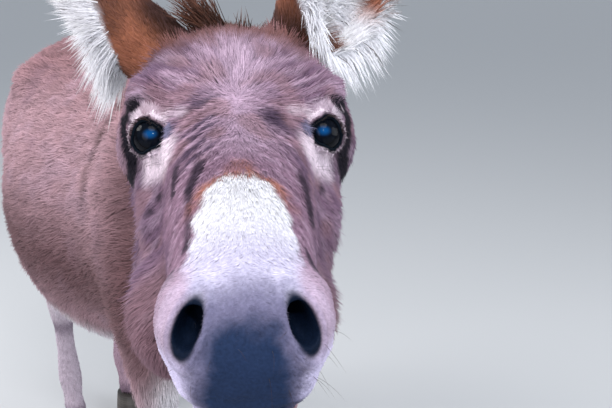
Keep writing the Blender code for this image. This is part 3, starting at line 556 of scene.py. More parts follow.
def eye_and_nostril_colours(face, points, place, rough):
    """A pale ring, fold and track round each eye, a dark arc of hair and painted shadow behind it, dark lids,
    and nostrils with painted shade inside.
    """
    where = np.stack([place[:, 0], np.abs(place[:, 1]), place[:, 2]], 1)
    eye_pale, black = colour("eye_pale"), colour("nose_dark")
    face = mix(face, eye_pale, ramp(-distance_to_line(where, *BROW), -0.011, -0.004) * 0.45)
    face = mix(face, eye_pale, ramp(-distance_to_line(where, *TEAR_TRACK), -0.027, -0.008) * 0.95)
    # The arc is dark hair together with painted shadow behind the rim of the orbit
    crescent = np.zeros(len(points))
    for start, end, wide in CRESCENT:
        away = distance_to_line(where, start, end)
        crescent = np.maximum(crescent, ramp(-away / wide + 0.25 * rough, -1.50, -0.70))
    face = mix(face, black * 0.12, crescent)
    for start, end in LID_FOLD:
        face = mix(face, eye_pale * 0.85, ramp(-distance_to_line(where, start, end), -0.0060, -0.0030) * 0.9)
    for side, way in SIDES.items():
        mine = place[:, 1] * way > 0
        reach, back_angle, up_angle = eye_view(side, points)
        rim = lid_reach(back_angle, up_angle)
        face = mix(face, eye_pale, bump(rim, 0.42, 0.40) * mine * ramp(-reach, -0.0320, -0.0265))
        corner = spot(where, EYE_CORNER, (0.013, 0.010, 0.009)) * mine
        face = mix(face, colour("nose_grey") * 1.1, ramp(corner, 0.30, 0.55))
        face = mix(face, black * 0.10, ramp(-rim, -0.16, -0.08) * ramp(-reach, -0.0262, -0.0240) * mine)
        nose = nostril_reach(side, points)
        face = mix(face, colour("nose_grey"), bump(nose, 1.30, 0.30) * 0.40)
        # Painted shade: the inside of the nostril is painted darker than the nose leather
        face = mix(face, black * 0.32, ramp(-nose, -1.26, -0.92))
    return face


def ear_colours(side, points, patchy):
    """Rust behind with a dark foot, tip and rims, and white in the hollow, with painted shade on its floor.
    """
    share, ahead, across = ear_coordinates(side, points)
    width = np.interp(share, EAR_SHARES, EAR_HALF_WIDTHS)
    brown = colour("brown")
    ear = np.tile(colour("rust"), (len(points), 1))
    ear = mix(ear, brown, ramp(patchy, -0.2, 0.7) * 0.55)
    middle_line = ear_base(side) + np.outer(share * EAR_LENGTH, ear_axes(side)[:, 2])
    inwards = -SIDES[side] * ((points - middle_line) @ HEAD_NP[:, 1])
    foot = ramp(-share, *EAR_FOOT[side])
    ear = mix(ear, brown * 0.4, ramp(inwards, -0.004, 0.022) * foot * 0.92)
    ear = mix(ear, brown * 0.45, ramp(share, 0.72, 0.92) * 0.9)
    ear = mix(ear, brown * 0.6, ramp(np.abs(across) / width, 0.80, 0.98) * ramp(share, 0.2, 0.4) * 0.7)
    open_foot = ramp(-share, -0.50, -0.40) * ramp(across / width, -0.15, 0.10) * ramp(ahead, -0.008, 0.0)
    hollow = np.maximum(inside_ear(side, points), open_foot * (side == "left"))
    ear = mix(ear, colour("white"), hollow * ramp(-share, -0.86, -0.70) * (1 - far_rim(side, points)))
    # Painted shade on the floor of the deep hollow
    return mix(ear, brown * 0.55, deep_in_ear(side, points) * 0.9)


def markings(points, labels):
    """The colour of the coat at each place, shared by the skin and everything that grows on it."""
    coarse, fine = Grain(11), Grain(12)
    place = head_coordinates(points)
    patchy = coarse(points, 0.075) * 0.6 + fine(points, 0.028) * 0.4
    rough = fine(points, 0.009) + 0.6 * coarse(points, 0.004)
    face = forehead_colours(points, place, coarse, fine)
    face = nose_colours(face, place, rough)
    face = eye_and_nostril_colours(face, points, place, rough)
    found = mix(body_colours(points, labels, patchy, fine), face, share_of_head(place, -0.03, 0.05))
    for side in SIDES:
        mine = part_of(labels, side + "_ear")
        if mine.any():
            found[mine] = ear_colours(side, points, patchy)[mine]
    tail = part_of(labels, "tail")
    found[tail] = mix(found, colour("brown"), np.full(len(points), 0.35))[tail]
    return np.clip(found, 0.002, 0.95)


def distance_to_line(places, start, end):
    """Distance from each place to a straight line between two ends."""
    start, end = np.array(start), np.array(end)
    along = end - start
    t = np.clip((places - start) @ along / (along @ along), 0, 1)
    return np.linalg.norm(places - start - t[:, None] * along, axis=1)


def nostril_place(side):
    """Axes of the nostril, and its middle."""
    way = SIDES[side]
    lean = HEAD @ Matrix.Rotation(way * NOSTRIL_LEAN, 3, "X") @ Matrix.Rotation(way * NOSTRIL_FLARE, 3, "Z")
    forward, aside, rise = NOSTRIL_FROM_POLL
    return np.array(lean), np.array(on_head(forward, aside * way, rise))


def nostril_reach(side, points):
    """1 on the wall of the nostril, less inside it."""
    lean, middle = nostril_place(side)
    return np.linalg.norm((points - middle) @ lean / np.array(NOSTRIL_RADII), axis=1)


# ---------------------------------------------------------------- materials


def plain_material(name):
    made = bpy.data.materials.new(name)
    made.use_nodes = True
    return made, made.node_tree.nodes, made.node_tree.links, made.node_tree.nodes["Principled BSDF"]


def fur_material(name, roughness, sheen, bump_distance, grain_scale):
    """Colour from the fur attribute, broken up by fine noise, and a bump where its distance is not 0."""
    made, nodes, links, shader = plain_material(name)
    tint = nodes.new("ShaderNodeAttribute")
    tint.attribute_name = "fur"
    grain = nodes.new("ShaderNodeTexNoise")
    grain.inputs["Scale"].default_value = grain_scale
    grain.inputs["Detail"].default_value = 4.0
    place = nodes.new("ShaderNodeTexCoord")
    links.new(place.outputs["Object"], grain.inputs["Vector"])
    steps = nodes.new("ShaderNodeMapRange")
    steps.inputs["From Min"].default_value = 0.3
    steps.inputs["From Max"].default_value = 0.7
    steps.inputs["To Min"].default_value = 0.80
    steps.inputs["To Max"].default_value = 1.12
    links.new(grain.outputs["Fac"], steps.inputs["Value"])
    shade = nodes.new("ShaderNodeVectorMath")
    shade.operation = "SCALE"
    links.new(tint.outputs["Color"], shade.inputs[0])
    links.new(steps.outputs["Result"], shade.inputs["Scale"])
    links.new(shade.outputs["Vector"], shader.inputs["Base Color"])
    if bump_distance:
        relief = nodes.new("ShaderNodeBump")
        relief.inputs["Distance"].default_value = bump_distance
        relief.inputs["Strength"].default_value = 0.7
        links.new(grain.outputs["Fac"], relief.inputs["Height"])
        links.new(relief.outputs["Normal"], shader.inputs["Normal"])
    shader.inputs["Roughness"].default_value = roughness
    shader.inputs["Specular IOR Level"].default_value = 0.05
    shader.inputs["Sheen Weight"].default_value = sheen
    shader.inputs["Sheen Roughness"].default_value = 0.5
    return made


def mottled(name, scale, first, second, roughness):
    """A material whose colour wanders between two, and its shader."""
    made, nodes, links, shader = plain_material(name)
    grain = nodes.new("ShaderNodeTexNoise")
    grain.inputs["Scale"].default_value = scale
    shades = nodes.new("ShaderNodeValToRGB")
    shades.color_ramp.elements[0].color = (*first, 1)
    shades.color_ramp.elements[1].color = (*second, 1)
    links.new(grain.outputs["Fac"], shades.inputs["Fac"])
    links.new(shades.outputs["Color"], shader.inputs["Base Color"])
    shader.inputs["Roughness"].default_value = roughness
    return made, shader


# ---------------------------------------------------------------- skin

SWELL = 0.0007  # of each solid before they are blended, so that the fine gaps between them close
skin_arrays = {}  # the finished skin, which the coat is rooted on


def coat_depth(points, labels):
    """How far the skin lies under the tips of the coat."""
    place = head_coordinates(points)
    f, s, r = place[:, 0], np.abs(place[:, 1]), place[:, 2]
    settings = bpy.context.scene.donkey_skin
    depth = np.full(len(points), settings.body_depth)
    depth = depth + (0.0025 - depth) * ramp(-points[:, 2], -0.45, -0.33)
    face = np.full(len(points), settings.face_depth)
    face = face + 0.002 * ramp(-f, -0.20, -0.12)
    face = face + 0.0025 * ramp(s, 0.080, 0.100) * ramp(-f, -0.26, -0.22)
    face = face + 0.005 * ramp(-r, 0.10, 0.18) * ramp(-f, -0.40, -0.32)
    temple = spot(np.stack([f, s, r], 1), (0.180, 0.112, -0.066), (0.050, 0.030, 0.060))
    face = face + (0.0006 - face) * np.clip(temple * 1.4, 0, 1)
    face = face + (0.0008 - face) * ramp(f, 0.40, 0.45)
    depth = depth + (face - depth) * share_of_head(place, -0.02, 0.05)
    for side in SIDES:
        depth[part_of(labels, side + "_ear")] = 0.0012
    depth[part_of(labels, "tail")] = 0.004
    return depth


def label_tree():
    """A tree over the flesh solids' faces, and the node that each face belongs to."""
    points, faces, owners, start = [], [], [], 0
    for number, name in enumerate(FLESH):
        p, t = arrays_of(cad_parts[name].data)
        points.append(p)
        faces.append(t + start)
        owners.append(np.full(len(t), number))
        start += len(p)
    tree = BVHTree.FromPolygons(np.vstack(points).tolist(), np.vstack(faces).tolist())
    return tree, np.concatenate(owners)


def labels_of(points, tree, owners):
    """The number in FLESH of the node that lies nearest to each point."""
    found = np.empty(len(points), int)
    for i, p in enumerate(points.tolist()):
        found[i] = owners[tree.find_nearest(p)[2]]
    return found


def blended_flesh(voxel):
    """One closed surface over the flesh solids and eyes, each first swollen enough to close the fine gaps."""
    points, faces, start = [], [], 0
    for name in FLESH + EYES:
        p, t = arrays_of(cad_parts[name].data)
        _, first, index = np.unique(np.round(p, 6), axis=0, return_index=True, return_inverse=True)
        t = index.reshape(-1)[t]
        p = p[first]
        points.append(p + normals_of(p, t) * SWELL)
        faces.append(t + start)
        start += len(p)
    obj = linked("flesh", mesh_from("flesh", np.vstack(points), np.vstack(faces)))
    grid = obj.modifiers.new("blend", "REMESH")
    grid.mode = "VOXEL"
    grid.voxel_size = voxel
    return modified(obj)


def thinned(points, triangles, weight, target):
    """Fewer triangles, taken mostly from where the weight is high."""
    obj = linked("thin", mesh_from("thin", points, triangles))
    group = obj.vertex_groups.new(name="coarse")
    steps = np.round(np.clip(weight, 0, 1) * 16).astype(int)
    for step in np.unique(steps):
        group.add(np.nonzero(steps == step)[0].tolist(), float(step) / 16, "REPLACE")
    fewer = obj.modifiers.new("fewer", "DECIMATE")
    fewer.vertex_group = group.name
    fewer.vertex_group_factor = 1.0
    fewer.ratio = min(1.0, target / len(triangles))
    return modified(obj)


def shape_lids(points, side):
    """Opens the lids over the eyeball and models their thickness, the fold above and the bag below."""
    middle = eye_middle(side)
    reach, back_angle, up_angle = eye_view(side, points)
    rim = lid_reach(back_angle, up_angle)
    upper = ramp(up_angle, -0.1, 0.3)
    lid = EYE_RADIUS + 0.0012 + 0.0016 * ramp(rim, 0.0, 0.14) + 0.0008 * upper * ramp(rim, 0.05, 0.2)
    lid += 0.0012 * bump(rim, 0.15, 0.12) - 0.0018 * bump(rim, 0.32, 0.10) * (0.4 + 0.6 * upper)
    lid += 0.0020 * bump(rim, 0.50, 0.16) * upper + 0.0012 * bump(rim, 0.50, 0.18) * (1 - upper)
    lid = np.where(rim < 0, EYE_RADIUS - 0.003, lid)
    hold = 1 - ramp(rim, 0.40, 0.95)
    hold *= 1 - ramp(reach, 0.028, 0.038)
    wanted = lid * hold + reach * (1 - hold)
    return middle + unit(points - middle) * wanted[:, None]


def shrink_nostril(points, side):
    """Draws the rim of the nostril in, which the coat's depth had widened."""
    lean, middle = nostril_place(side)
    local = (points - middle) @ lean
    hold = bump(nostril_reach(side, points), 1.15, 0.85)
    local[:, 1] *= 1 - 0.10 * hold
    local[:, 2] = local[:, 2] * (1 - 0.24 * hold) + 0.0035 * hold
    return middle + local @ lean.T


def shape_muzzle(points, normals):
    """Nostril rims, the mouth's groove and creases behind the lips."""
    place = head_coordinates(points)
    f, r = place[:, 0], place[:, 2]
    height = np.zeros(len(points))
    for side in SIDES:
        nose = nostril_reach(side, points)
        outward = (normals @ HEAD_NP)[:, 0] > -0.2
        height += 0.0022 * bump(nose, 1.35, 0.35) * outward
    line = MOUTH_RISE + MOUTH_CLIMB * f
    height -= 0.0030 * bump(r, line, 0.0042) * ramp(f, 0.375, 0.40)
    height += 0.0012 * bump(r, line + 0.008, 0.006) * ramp(f, 0.40, 0.44)
    height += 0.0007 * Grain(31)(points, 0.010) * ramp(f, 0.40, 0.45) * ramp(-r, 0.03, 0.09)
    return points + normals * height[:, None]


UNWRAP_EDGE = 0.02  # left free round the unwrap
UNWRAP_GAP = 0.01  # between patches, in metres on the skin


def unwrap_of(points, triangles, labels):
    """Lays the skin flat in patches: each part of the animal as seen along the nearest of six ways."""
    a, b, c = (points[triangles[:, k]] for k in range(3))
    face = np.cross(b - a, c - a)
    axis = np.abs(face).argmax(axis=1)
    sign = (face[np.arange(len(face)), axis] > 0).astype(int)
    owner = labels[triangles[:, 0]]
    patch = owner * 6 + axis * 2 + sign
    used = np.unique(patch)
    flat = np.array([(1, 2), (0, 2), (0, 1)])[axis]
    corners = np.stack([np.take_along_axis(points[triangles[:, k]], flat, axis=1) for k in range(3)], axis=1)
    sizes = []
    for number in used:
        mine = corners[patch == number].reshape(-1, 2)
        sizes.append((number, mine.min(axis=0), np.ptp(mine, axis=0)))
    sizes.sort(key=lambda entry: -entry[2][1])
    # Shelves: patches side by side in rows, over a width that gives a nearly square sheet
    width = math.sqrt(sum(size[0] * size[1] for _, _, size in sizes)) * 1.25
    x, y, shelf, top, placed = 0.0, 0.0, 0.0, 0.0, {}
    for number, low, size in sizes:
        if x + size[0] > width:
            x, y, shelf = 0.0, y + shelf + UNWRAP_GAP, 0.0
        placed[number] = np.array([x, y]) - low
        x += size[0] + UNWRAP_GAP
        shelf = max(shelf, size[1])
        top = max(top, y + shelf)
    shift = np.zeros((int(used.max()) + 1, 2))
    for number, move in placed.items():
        shift[number] = move
    scale = (1 - 2 * UNWRAP_EDGE) / max(width, top)
    return (corners + shift[patch][:, None, :]) * scale + UNWRAP_EDGE


# Edges of the skin that are longer than these are split
FACE_EDGE, ORBIT_EDGE, LID_EDGE, NOSTRIL_EDGE, LIP_EDGE = 0.0065, 0.0024, 0.0013, 0.0026, 0.0022


def build_skin():
    settings = bpy.context.scene.donkey_skin
    tree, owners = label_tree()
    points, triangles = blended_flesh(settings.voxel)
    labels = labels_of(points, tree, owners)
    is_ear = part_of(labels, "left_ear", "right_ear")
    place = head_coordinates(points)
    forward, rise = place[:, 0], place[:, 2]
    on_the_head = share_of_head(place, -0.02, 0.06)
    body = (1 - on_the_head) * ramp(points[:, 2], 0.35, 0.50)
    points = smoothed(points, triangles, np.where(is_ear, 0.0, 0.5 * body), 44)
    points = smoothed(points, triangles, np.where(is_ear, 0.15, 0.5), 9)
    jaw = on_the_head * ramp(-rise, 0.14, 0.18) * ramp(-forward, -0.44, -0.40)
    points = smoothed(points, triangles, np.where(is_ear, 0.0, 0.5 * jaw), 40)
    normals = normals_of(points, triangles)
    points = points - normals * (SWELL + coat_depth(points, labels))[:, None]
    points = smoothed(points, triangles, 0.3, 2)
    coarse = 0.85 - 0.55 * ramp(head_coordinates(points)[:, 0], 0.0, 0.05) * (rise > -0.4)
    coarse = np.where(is_ear, 0.35, coarse)
    points, triangles = thinned(points, triangles, coarse, settings.base_triangles)

    eyes = [eye_middle(side) for side in SIDES]
    noses = [nostril_place(side)[1] for side in SIDES]

    def wanted(middle):
        """The longest edge allowed here: short round the eyes, nostrils and lips, and free off the head."""
        place = head_coordinates(middle)
        length = np.where((place[:, 0] > 0.02) & (place[:, 2] > -0.3), FACE_EDGE, 1.0)
        for eye in eyes:
            away = np.linalg.norm(middle - eye, axis=1)
            length = np.where(away < 0.040, ORBIT_EDGE, length)
            length = np.where(away < 0.0285, LID_EDGE, length)
        for nose in noses:
            length = np.where(np.linalg.norm(middle - nose, axis=1) < 0.040, NOSTRIL_EDGE, length)
        line = MOUTH_RISE + MOUTH_CLIMB * place[:, 0]
        lips = (np.abs(place[:, 2] - line) < 0.012) & (place[:, 0] > 0.37)
        return np.where(lips, LIP_EDGE, length)

    for _ in range(4):
        points, triangles = refined(points, triangles, wanted)
        near = np.minimum(*(np.linalg.norm(points - eye, axis=1) for eye in eyes))
        points = smoothed(points, triangles, 0.35 * ramp(-near, -0.06, -0.04) + 0.10 * (near > 0.06), 2)
    for side in SIDES:
        points = shape_lids(points, side)
        reach, back_angle, up_angle = eye_view(side, points)
        rim = lid_reach(back_angle, up_angle)
        points = smoothed(points, triangles, 0.4 * ramp(rim, 0.35, 0.60) * ramp(-reach, -0.055, -0.042), 8)
        points = shrink_nostril(points, side)
    points = shape_muzzle(points, normals_of(points, triangles))
    labels = labels_of(points, tree, owners)

    skin = piece_from("skin", points, triangles, fur_material("hide", 0.62, 0.0, 0.0012, 420.0))
    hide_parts(*FLESH)
    set_colours(skin.data, markings(points, labels) * 0.80)
    corners = unwrap_of(points, triangles, labels)
    set_unwrap(skin.data, corners.reshape(-1, 2))
    skin_arrays.update(points=points, triangles=triangles, labels=labels, corners=corners,
                       normals=normals_of(points, triangles))


# ---------------------------------------------------------------- eyes


def ring_tube(centres, outward, radius, sides=8):
    """A closed tube round a loop. outward points to the first side of each ring, and radius may vary."""
    count = len(centres)
    along = unit(np.roll(centres, -1, axis=0) - np.roll(centres, 1, axis=0))
    outward = unit(outward - along * (outward * along).sum(axis=1)[:, None])
    across = np.cross(along, outward)
    angles = np.arange(sides) * 2 * math.pi / sides
    radius = np.broadcast_to(radius, count)[:, None, None]
    points = centres[:, None, :] + radius * (np.cos(angles)[None, :, None] * outward[:, None, :]
                                             + np.sin(angles)[None, :, None] * across[:, None, :])
    faces = []
    for i in range(count):
        for k in range(sides):
            a, b = i * sides + k, i * sides + (k + 1) % sides
            c, d = ((i + 1) % count) * sides + k, ((i + 1) % count) * sides + (k + 1) % sides
            faces += [(a, d, b), (a, c, d)]
    return points.reshape(-1, 3), np.array(faces)


def from_angles(side, back_angle, up_angle, reach):
    """The place at these angles off the gaze and this distance from the eye's middle."""
    local = np.stack([np.cos(up_angle) * np.cos(back_angle), np.cos(up_angle) * np.sin(back_angle),
                      np.sin(up_angle)], axis=1)
    return eye_middle(side) + (local @ eye_axes(side).T) * np.asarray(reach).reshape(-1, 1)


def lid_loop(turns):
    """Angles round the rim of the lids, from the back corner upwards."""
    low, high = np.zeros(len(turns)), np.full(len(turns), 2.0)
    for _ in range(30):
        middle = (low + high) / 2
        outside = lid_reach(np.cos(turns) * middle, np.sin(turns) * middle) > 0
        high = np.where(outside, middle, high)
        low = np.where(outside, low, middle)
    return np.cos(turns) * low, np.sin(turns) * low


def eyeball(side, material):
    """The ball with its cornea, turned to where the pupil points and coloured round it, with a painted blue
    reflection of the sky over the pupil.
    """
    across, up = 96, 64
    turns = np.linspace(0, 2 * math.pi, across, endpoint=False)
    heights = np.linspace(0, math.pi, up + 1)[1:-1]
    h, t = np.meshgrid(heights, turns, indexing="ij")
    ring = np.stack([np.cos(h), np.sin(h) * np.cos(t), np.sin(h) * np.sin(t)], axis=2).reshape(-1, 3)
    unit_points = np.vstack([[1, 0, 0], ring, [-1, 0, 0]])
    faces, last = [], 1 + (up - 2) * across
    for k in range(across):
        n = (k + 1) % across
        faces += [(0, 1 + k, 1 + n), (len(unit_points) - 1, last + n, last + k)]
        for start in range(1, last, across):
            a, b = start + k, start + n
            faces += [(a, a + across, b + across), (a, b + across, b)]
    off = np.degrees(np.arccos(np.clip(unit_points[:, 0], -1, 1)))
    reach = EYE_RADIUS + 0.0008 * ramp(-off, -42, -20)  # the cornea stands out a little
    points = eye_middle(side) + (unit_points * reach[:, None]) @ eye_axes(side, LOOK_OUT, LOOK_UP).T
    if SIDES[side] < 0:
        faces = [face[::-1] for face in faces]
    settings = bpy.context.scene.donkey_eyes
    iris, pupil_sky_reflection, white = (np.array(c[:3]) for c in (settings.iris, settings.pupil_sky_reflection, settings.white))
    around = np.arctan2(unit_points[:, 2], unit_points[:, 1])
    rays = Grain(41)(np.stack([around * 6, off / 9, np.zeros(len(off))], 1), 1.0)
    colours = np.tile(white, (len(points), 1))
    colours = mix(colours, iris * 0.35, ramp(-off, -50, -44))
    colours = mix(colours, iris, ramp(-off, -44, -38))
    colours = mix(colours, iris * 1.5, ramp(rays, 0.1, 0.8) * ramp(-off, -40, -30) * 0.6)
    # Painted reflection: a blue spot of sky over the pupil
    sky_reflection_spot = np.hypot(unit_points[:, 1] / math.sin(REFLECTION_ACROSS), unit_points[:, 2] / math.sin(REFLECTION_UP))
    colours = mix(colours, pupil_sky_reflection, ramp(-sky_reflection_spot, -1.75, -0.25) * (unit_points[:, 0] > 0))
    piece = piece_from(side + "_eyeball", points, np.array(faces), material)
    set_colours(piece.data, colours, "eye")
    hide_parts(side + "_eye")


def lid_margin(side, material):
    """The bare wet edge all round the opening of the lids."""
    turns = np.linspace(0, 2 * math.pi, 120, endpoint=False)
    back_angle, up_angle = lid_loop(turns)
    centres = from_angles(side, back_angle, up_angle, EYE_RADIUS + 0.0006)
    outward = centres - eye_middle(side)
    thick = 0.0013 + 0.0005 * np.clip(np.sin(turns), 0, 1)
    points, faces = ring_tube(centres, outward, thick)
    piece = piece_from(side + "_lid_rim", points, faces, material)


def tear_corner(side, material):
    """The small pad in the front corner of the lids."""
    back_angle = -math.radians(63)  # off the gaze, towards the nose
    place = from_angles(side, np.array([back_angle]), np.array([0.10]), EYE_RADIUS + 0.0002)[0]
    axes = eye_axes(side)
    around, rows = 20, 12
    turns = np.linspace(0, 2 * math.pi, around, endpoint=False)
    heights = np.linspace(0.02, math.pi - 0.02, rows)
    h, t = np.meshgrid(heights, turns, indexing="ij")
    ring = np.stack([np.cos(h) * 0.0040, np.sin(h) * np.cos(t) * 0.0030, np.sin(h) * np.sin(t) * 0.0022],
                    axis=2)
    inward = np.array(HEAD.col[1]) * -SIDES[side]
    along = np.stack([unit(axes[:, :1].T * math.cos(back_angle + 1.57) + inward[None, :])[0],
                      unit(place[None, :] - eye_middle(side)[None, :])[0]], axis=1)
    third = np.cross(along[:, 0], along[:, 1])
    points = place + ring.reshape(-1, 3) @ np.stack([along[:, 0], along[:, 1], third], axis=0)
    faces, last = [], (rows - 1) * around
    for start in range(0, last, around):
        for k in range(around):
            a, b = start + k, start + (k + 1) % around
            faces += [(a, a + around, b + around), (a, b + around, b)]
    end = len(points)
    points = np.vstack([points, points[:around].mean(axis=0), points[-around:].mean(axis=0)])
    for k in range(around):
        n = (k + 1) % around
        faces += [(end, k, n), (end + 1, last + n, last + k)]
    piece = piece_from(side + "_tear_corner", points, outward_faces(points, np.array(faces)), material)


def outward_faces(points, faces):
    """The same faces, turned so that they enclose a positive volume."""
    a, b, c = (points[faces[:, k]] for k in range(3))
    volume = np.einsum("ij,ij->i", a, np.cross(b, c)).sum()
    return faces if volume > 0 else faces[:, ::-1]


def build_eyes():
    glass, nodes, links, shader = plain_material("eye_glass")
    tint = nodes.new("ShaderNodeAttribute")
    tint.attribute_name = "eye"
    links.new(tint.outputs["Color"], shader.inputs["Base Color"])
    shader.inputs["Roughness"].default_value = 0.05
    shader.inputs["IOR"].default_value = 1.20
    shader.inputs["Specular IOR Level"].default_value = 0.3
    wet, shader = mottled("wet_rim", 900.0, (0.001, 0.003, 0.006), (0.004, 0.007, 0.012), 0.5)
    shader.inputs["Specular IOR Level"].default_value = 0.03
    pad, _ = mottled("tear_pad", 700.0, (0.03, 0.015, 0.016), (0.09, 0.045, 0.045), 0.2)
    for side in SIDES:
        eyeball(side, glass)
        lid_margin(side, wet)
        tear_corner(side, pad)


# ---------------------------------------------------------------- coat


def scatter(density, rng):
    """Random places on the skin, this many per square metre at each of its points: triangles and shares."""
    points, triangles = skin_arrays["points"], skin_arrays["triangles"]
    a, b, c = (points[triangles[:, k]] for k in range(3))
    area = np.linalg.norm(np.cross(b - a, c - a), axis=1) / 2
    amount = np.cumsum(area * density[triangles].mean(axis=1))
    count = int(amount[-1])
    where = np.searchsorted(amount, (np.arange(count) + rng.random(count)) * amount[-1] / count)
    where = np.minimum(where, len(triangles) - 1)
    u, v = rng.random(count), rng.random(count)
    over = u + v > 1
    u[over], v[over] = 1 - u[over], 1 - v[over]
    return where, np.stack([1 - u - v, u, v], axis=1)


def spread_over(values, where, shares):
    """A value or vector of the skin's points, at the scattered places."""
    corners = values[skin_arrays["triangles"][where]]
    return np.einsum("nk,nk...->n...", shares, corners)


def rooted(density, rng):
    """Scattered places: triangles, shares, roots, normals and places on the unwrap."""
    where, shares = scatter(density, rng)
    roots, normals = (spread_over(skin_arrays[name], where, shares) for name in ("points", "normals"))
    return where, shares, roots, normals, np.einsum("nk,nkj->nj", shares, skin_arrays["corners"][where])


def lie_of_coat(points, normals, labels):
    """The way the hair points, laid in the skin."""
    place = head_coordinates(points)
    f, s, r = place[:, 0], place[:, 1], place[:, 2]
    nothing = np.zeros(len(f))
    body = np.tile([0.0, 1.0, -0.45], (len(points), 1))
    body = mix(body, [0.0, 0.12, -1.0], ramp(-points[:, 2], -0.66, -0.50))
    body[part_of(labels, "neck")] = [0.12, 0.80, -0.55]
    body[part_of(labels, "tail")] = [0, 0.1, -1.0]
    crown = unit(np.stack([f - WHORL[0], s * 1.25, nothing], axis=1))
    side = np.sign(s) + (s == 0)
    cheek = np.stack([np.interp(f, (0.0, 0.12, 0.25, 0.40), (-0.9, -0.7, -0.05, 0.35)), nothing,
                      np.full(len(f), -1.0)], axis=1)
    down = ramp(-r, 0.030, 0.085)
    down = np.maximum(down, ramp(np.abs(s), 0.075, 0.100) * ramp(-r, 0.0, 0.03))
    face = mix(crown, cheek, down)
    muzzle = np.stack([np.full(len(f), -0.15), side * 0.7, np.full(len(f), -0.8)], axis=1)
    face = mix(face, muzzle, ramp(f, 0.42, 0.47))
    face = mix(face, [-1.0, 0.0, 0.0], ramp(-(normals @ HEAD_NP)[:, 2], 0.6, 0.9))
    for name in SIDES:
        away = (points - eye_middle(name)) @ HEAD_NP
        face = mix(face, unit(away), ramp(-eye_view(name, points)[0], -0.040, -0.028))
    found = mix(body, face @ HEAD_NP.T, share_of_head(place, -0.03, 0.05))
    for name in SIDES:
        mine = part_of(labels, name + "_ear")
        axes = ear_axes(name)
        along = np.tile(axes[:, 2], (len(points), 1))
        found[mine] = mix(along, axes[:, 2] * 0.55 + axes[:, 0] * 0.9, inside_ear(name, points))[mine]
    found = found - normals * (found * normals).sum(axis=1)[:, None]
    return unit(found)


def near_whorl(points):
    """1 at the whorl of the forehead, where the hair stands less orderly, and 0 away from it."""
    place = head_coordinates(points)
    away = np.hypot(place[:, 0] - WHORL[0], place[:, 1])
    return ramp(-away, -0.030, -0.006) * (np.abs(place[:, 2]) < 0.05)


def coat_rules(points, labels):
    """Length, width, lift in radians and number per square metre of the tufts at each place."""
    settings = bpy.context.scene.donkey_coat
    place = head_coordinates(points)
    f, s, r = place[:, 0], np.abs(place[:, 1]), place[:, 2]
    z = points[:, 2]
    length = np.full(len(points), settings.body_length)
    width = np.full(len(points), settings.body_width)
    lift = np.full(len(points), math.radians(14))
    number = np.full(len(points), 50000.0)
    belly = ramp(-z, -0.60, -0.52) * ramp(z, 0.40, 0.46)
    length += 0.008 * belly
    lift += math.radians(8) * belly
    leg = ramp(-z, -0.62, -0.42)
    length += (0.010 - length) * leg
    width += (0.0013 - width) * leg
    lift += (math.radians(11) - lift) * leg
    number += (100000 - number) * leg

    def blend(share, new_length, new_width, degrees, count):
        nonlocal length, width, lift, number
        length = length + (new_length - length) * share
        width = width + (new_width - width) * share
        lift = lift + (math.radians(degrees) - lift) * share
        number = number + (count - number) * share

    head_share = share_of_head(place, -0.06, 0.03)
    k = settings.face_length / 0.012
    blend(head_share, 0.022, 0.0016, 20, 120000)
    blend(head_share * ramp(f, 0.02, 0.08), 0.018 * k, 0.0010, 26, 330000)
    blend(head_share * ramp(f, 0.17, 0.26), 0.011 * k, 0.0009, 16, 400000)
    blend(head_share * ramp(s, 0.070, 0.095) * ramp(-f, -0.30, -0.24), 0.013 * k, 0.0010, 14, 330000)
    where = np.stack([f, s, r], 1)
    crescent = np.minimum(*(distance_to_line(where, *CRESCENT[k][:2]) for k in (1, 4)))
    blend(head_share * ramp(-crescent, -0.022, -0.012), 0.0075, 0.0009, 13, 420000)
    cheek = head_share * ramp(-r, 0.085, 0.14) * ramp(-f, -0.42, -0.34)
    blend(cheek, 0.020 * k, 0.0014, 25, 200000)
    blend(head_share * ramp(f, 0.34, 0.41) * ramp(r, -0.13, -0.08), 0.0065 * k, 0.0009, 12, 330000)
    blend(head_share * ramp(f, 0.43, 0.48), 0.0034, 0.0006, 10, 300000)
    bare = ramp(f, 0.488, 0.503) * ramp(-s, -0.040, -0.026) * ramp(r, -0.140, -0.125)
    for side in SIDES:
        reach, back_angle, up_angle = eye_view(side, points)
        rim = lid_reach(back_angle, up_angle)
        close = ramp(-reach, -0.036, -0.026)
        blend(close, 0.0042, 0.0007, 7, 430000)
        bare = np.maximum(bare, (reach < 0.028) * ramp(-rim, -0.16, -0.09))
        bare = np.maximum(bare, ramp(-nostril_reach(side, points), -1.22, -1.08))
    number = number * (1 - bare)
    for side in SIDES:
        mine = part_of(labels, side + "_ear")
        length[mine], width[mine], lift[mine], number[mine] = 0.0095, 0.0013, math.radians(13), 150000
        hollow = mine & (inside_ear(side, points) > 0.5)
        length[hollow], width[hollow], lift[hollow], number[hollow] = 0.026, 0.0011, math.radians(40), 420000
    tail = part_of(labels, "tail")
    length[tail], lift[tail] = 0.018, math.radians(12)
    return length, width, lift, number * settings.density


TUFT_CORNERS = np.array([(0, 2, 1), (0, 3, 2), (2, 3, 1), (1, 3, 0)])  # root, two flanks and the underside


def tuft_mesh(roots, normals, ways, length, width, lift):
    """Closed spikes of four triangles: a flat root sunk in the skin and one tip."""
    across = np.cross(normals, ways)
    half = across * (width / 2)[:, None]
    sunk = roots - normals * (TUFT_SINK[0] + TUFT_SINK[1] * width)[:, None]
    tips = roots + (ways * np.cos(lift)[:, None] + normals * np.sin(lift)[:, None]) * length[:, None]
    crest = roots + normals * (TUFT_CREST * width)[:, None]
    points = np.stack([sunk - half, sunk + half, crest, tips], axis=1).reshape(-1, 3)
    start = (np.arange(len(roots)) * 4)[:, None]
    return points, (start[:, :, None] + TUFT_CORNERS).reshape(-1, 3)


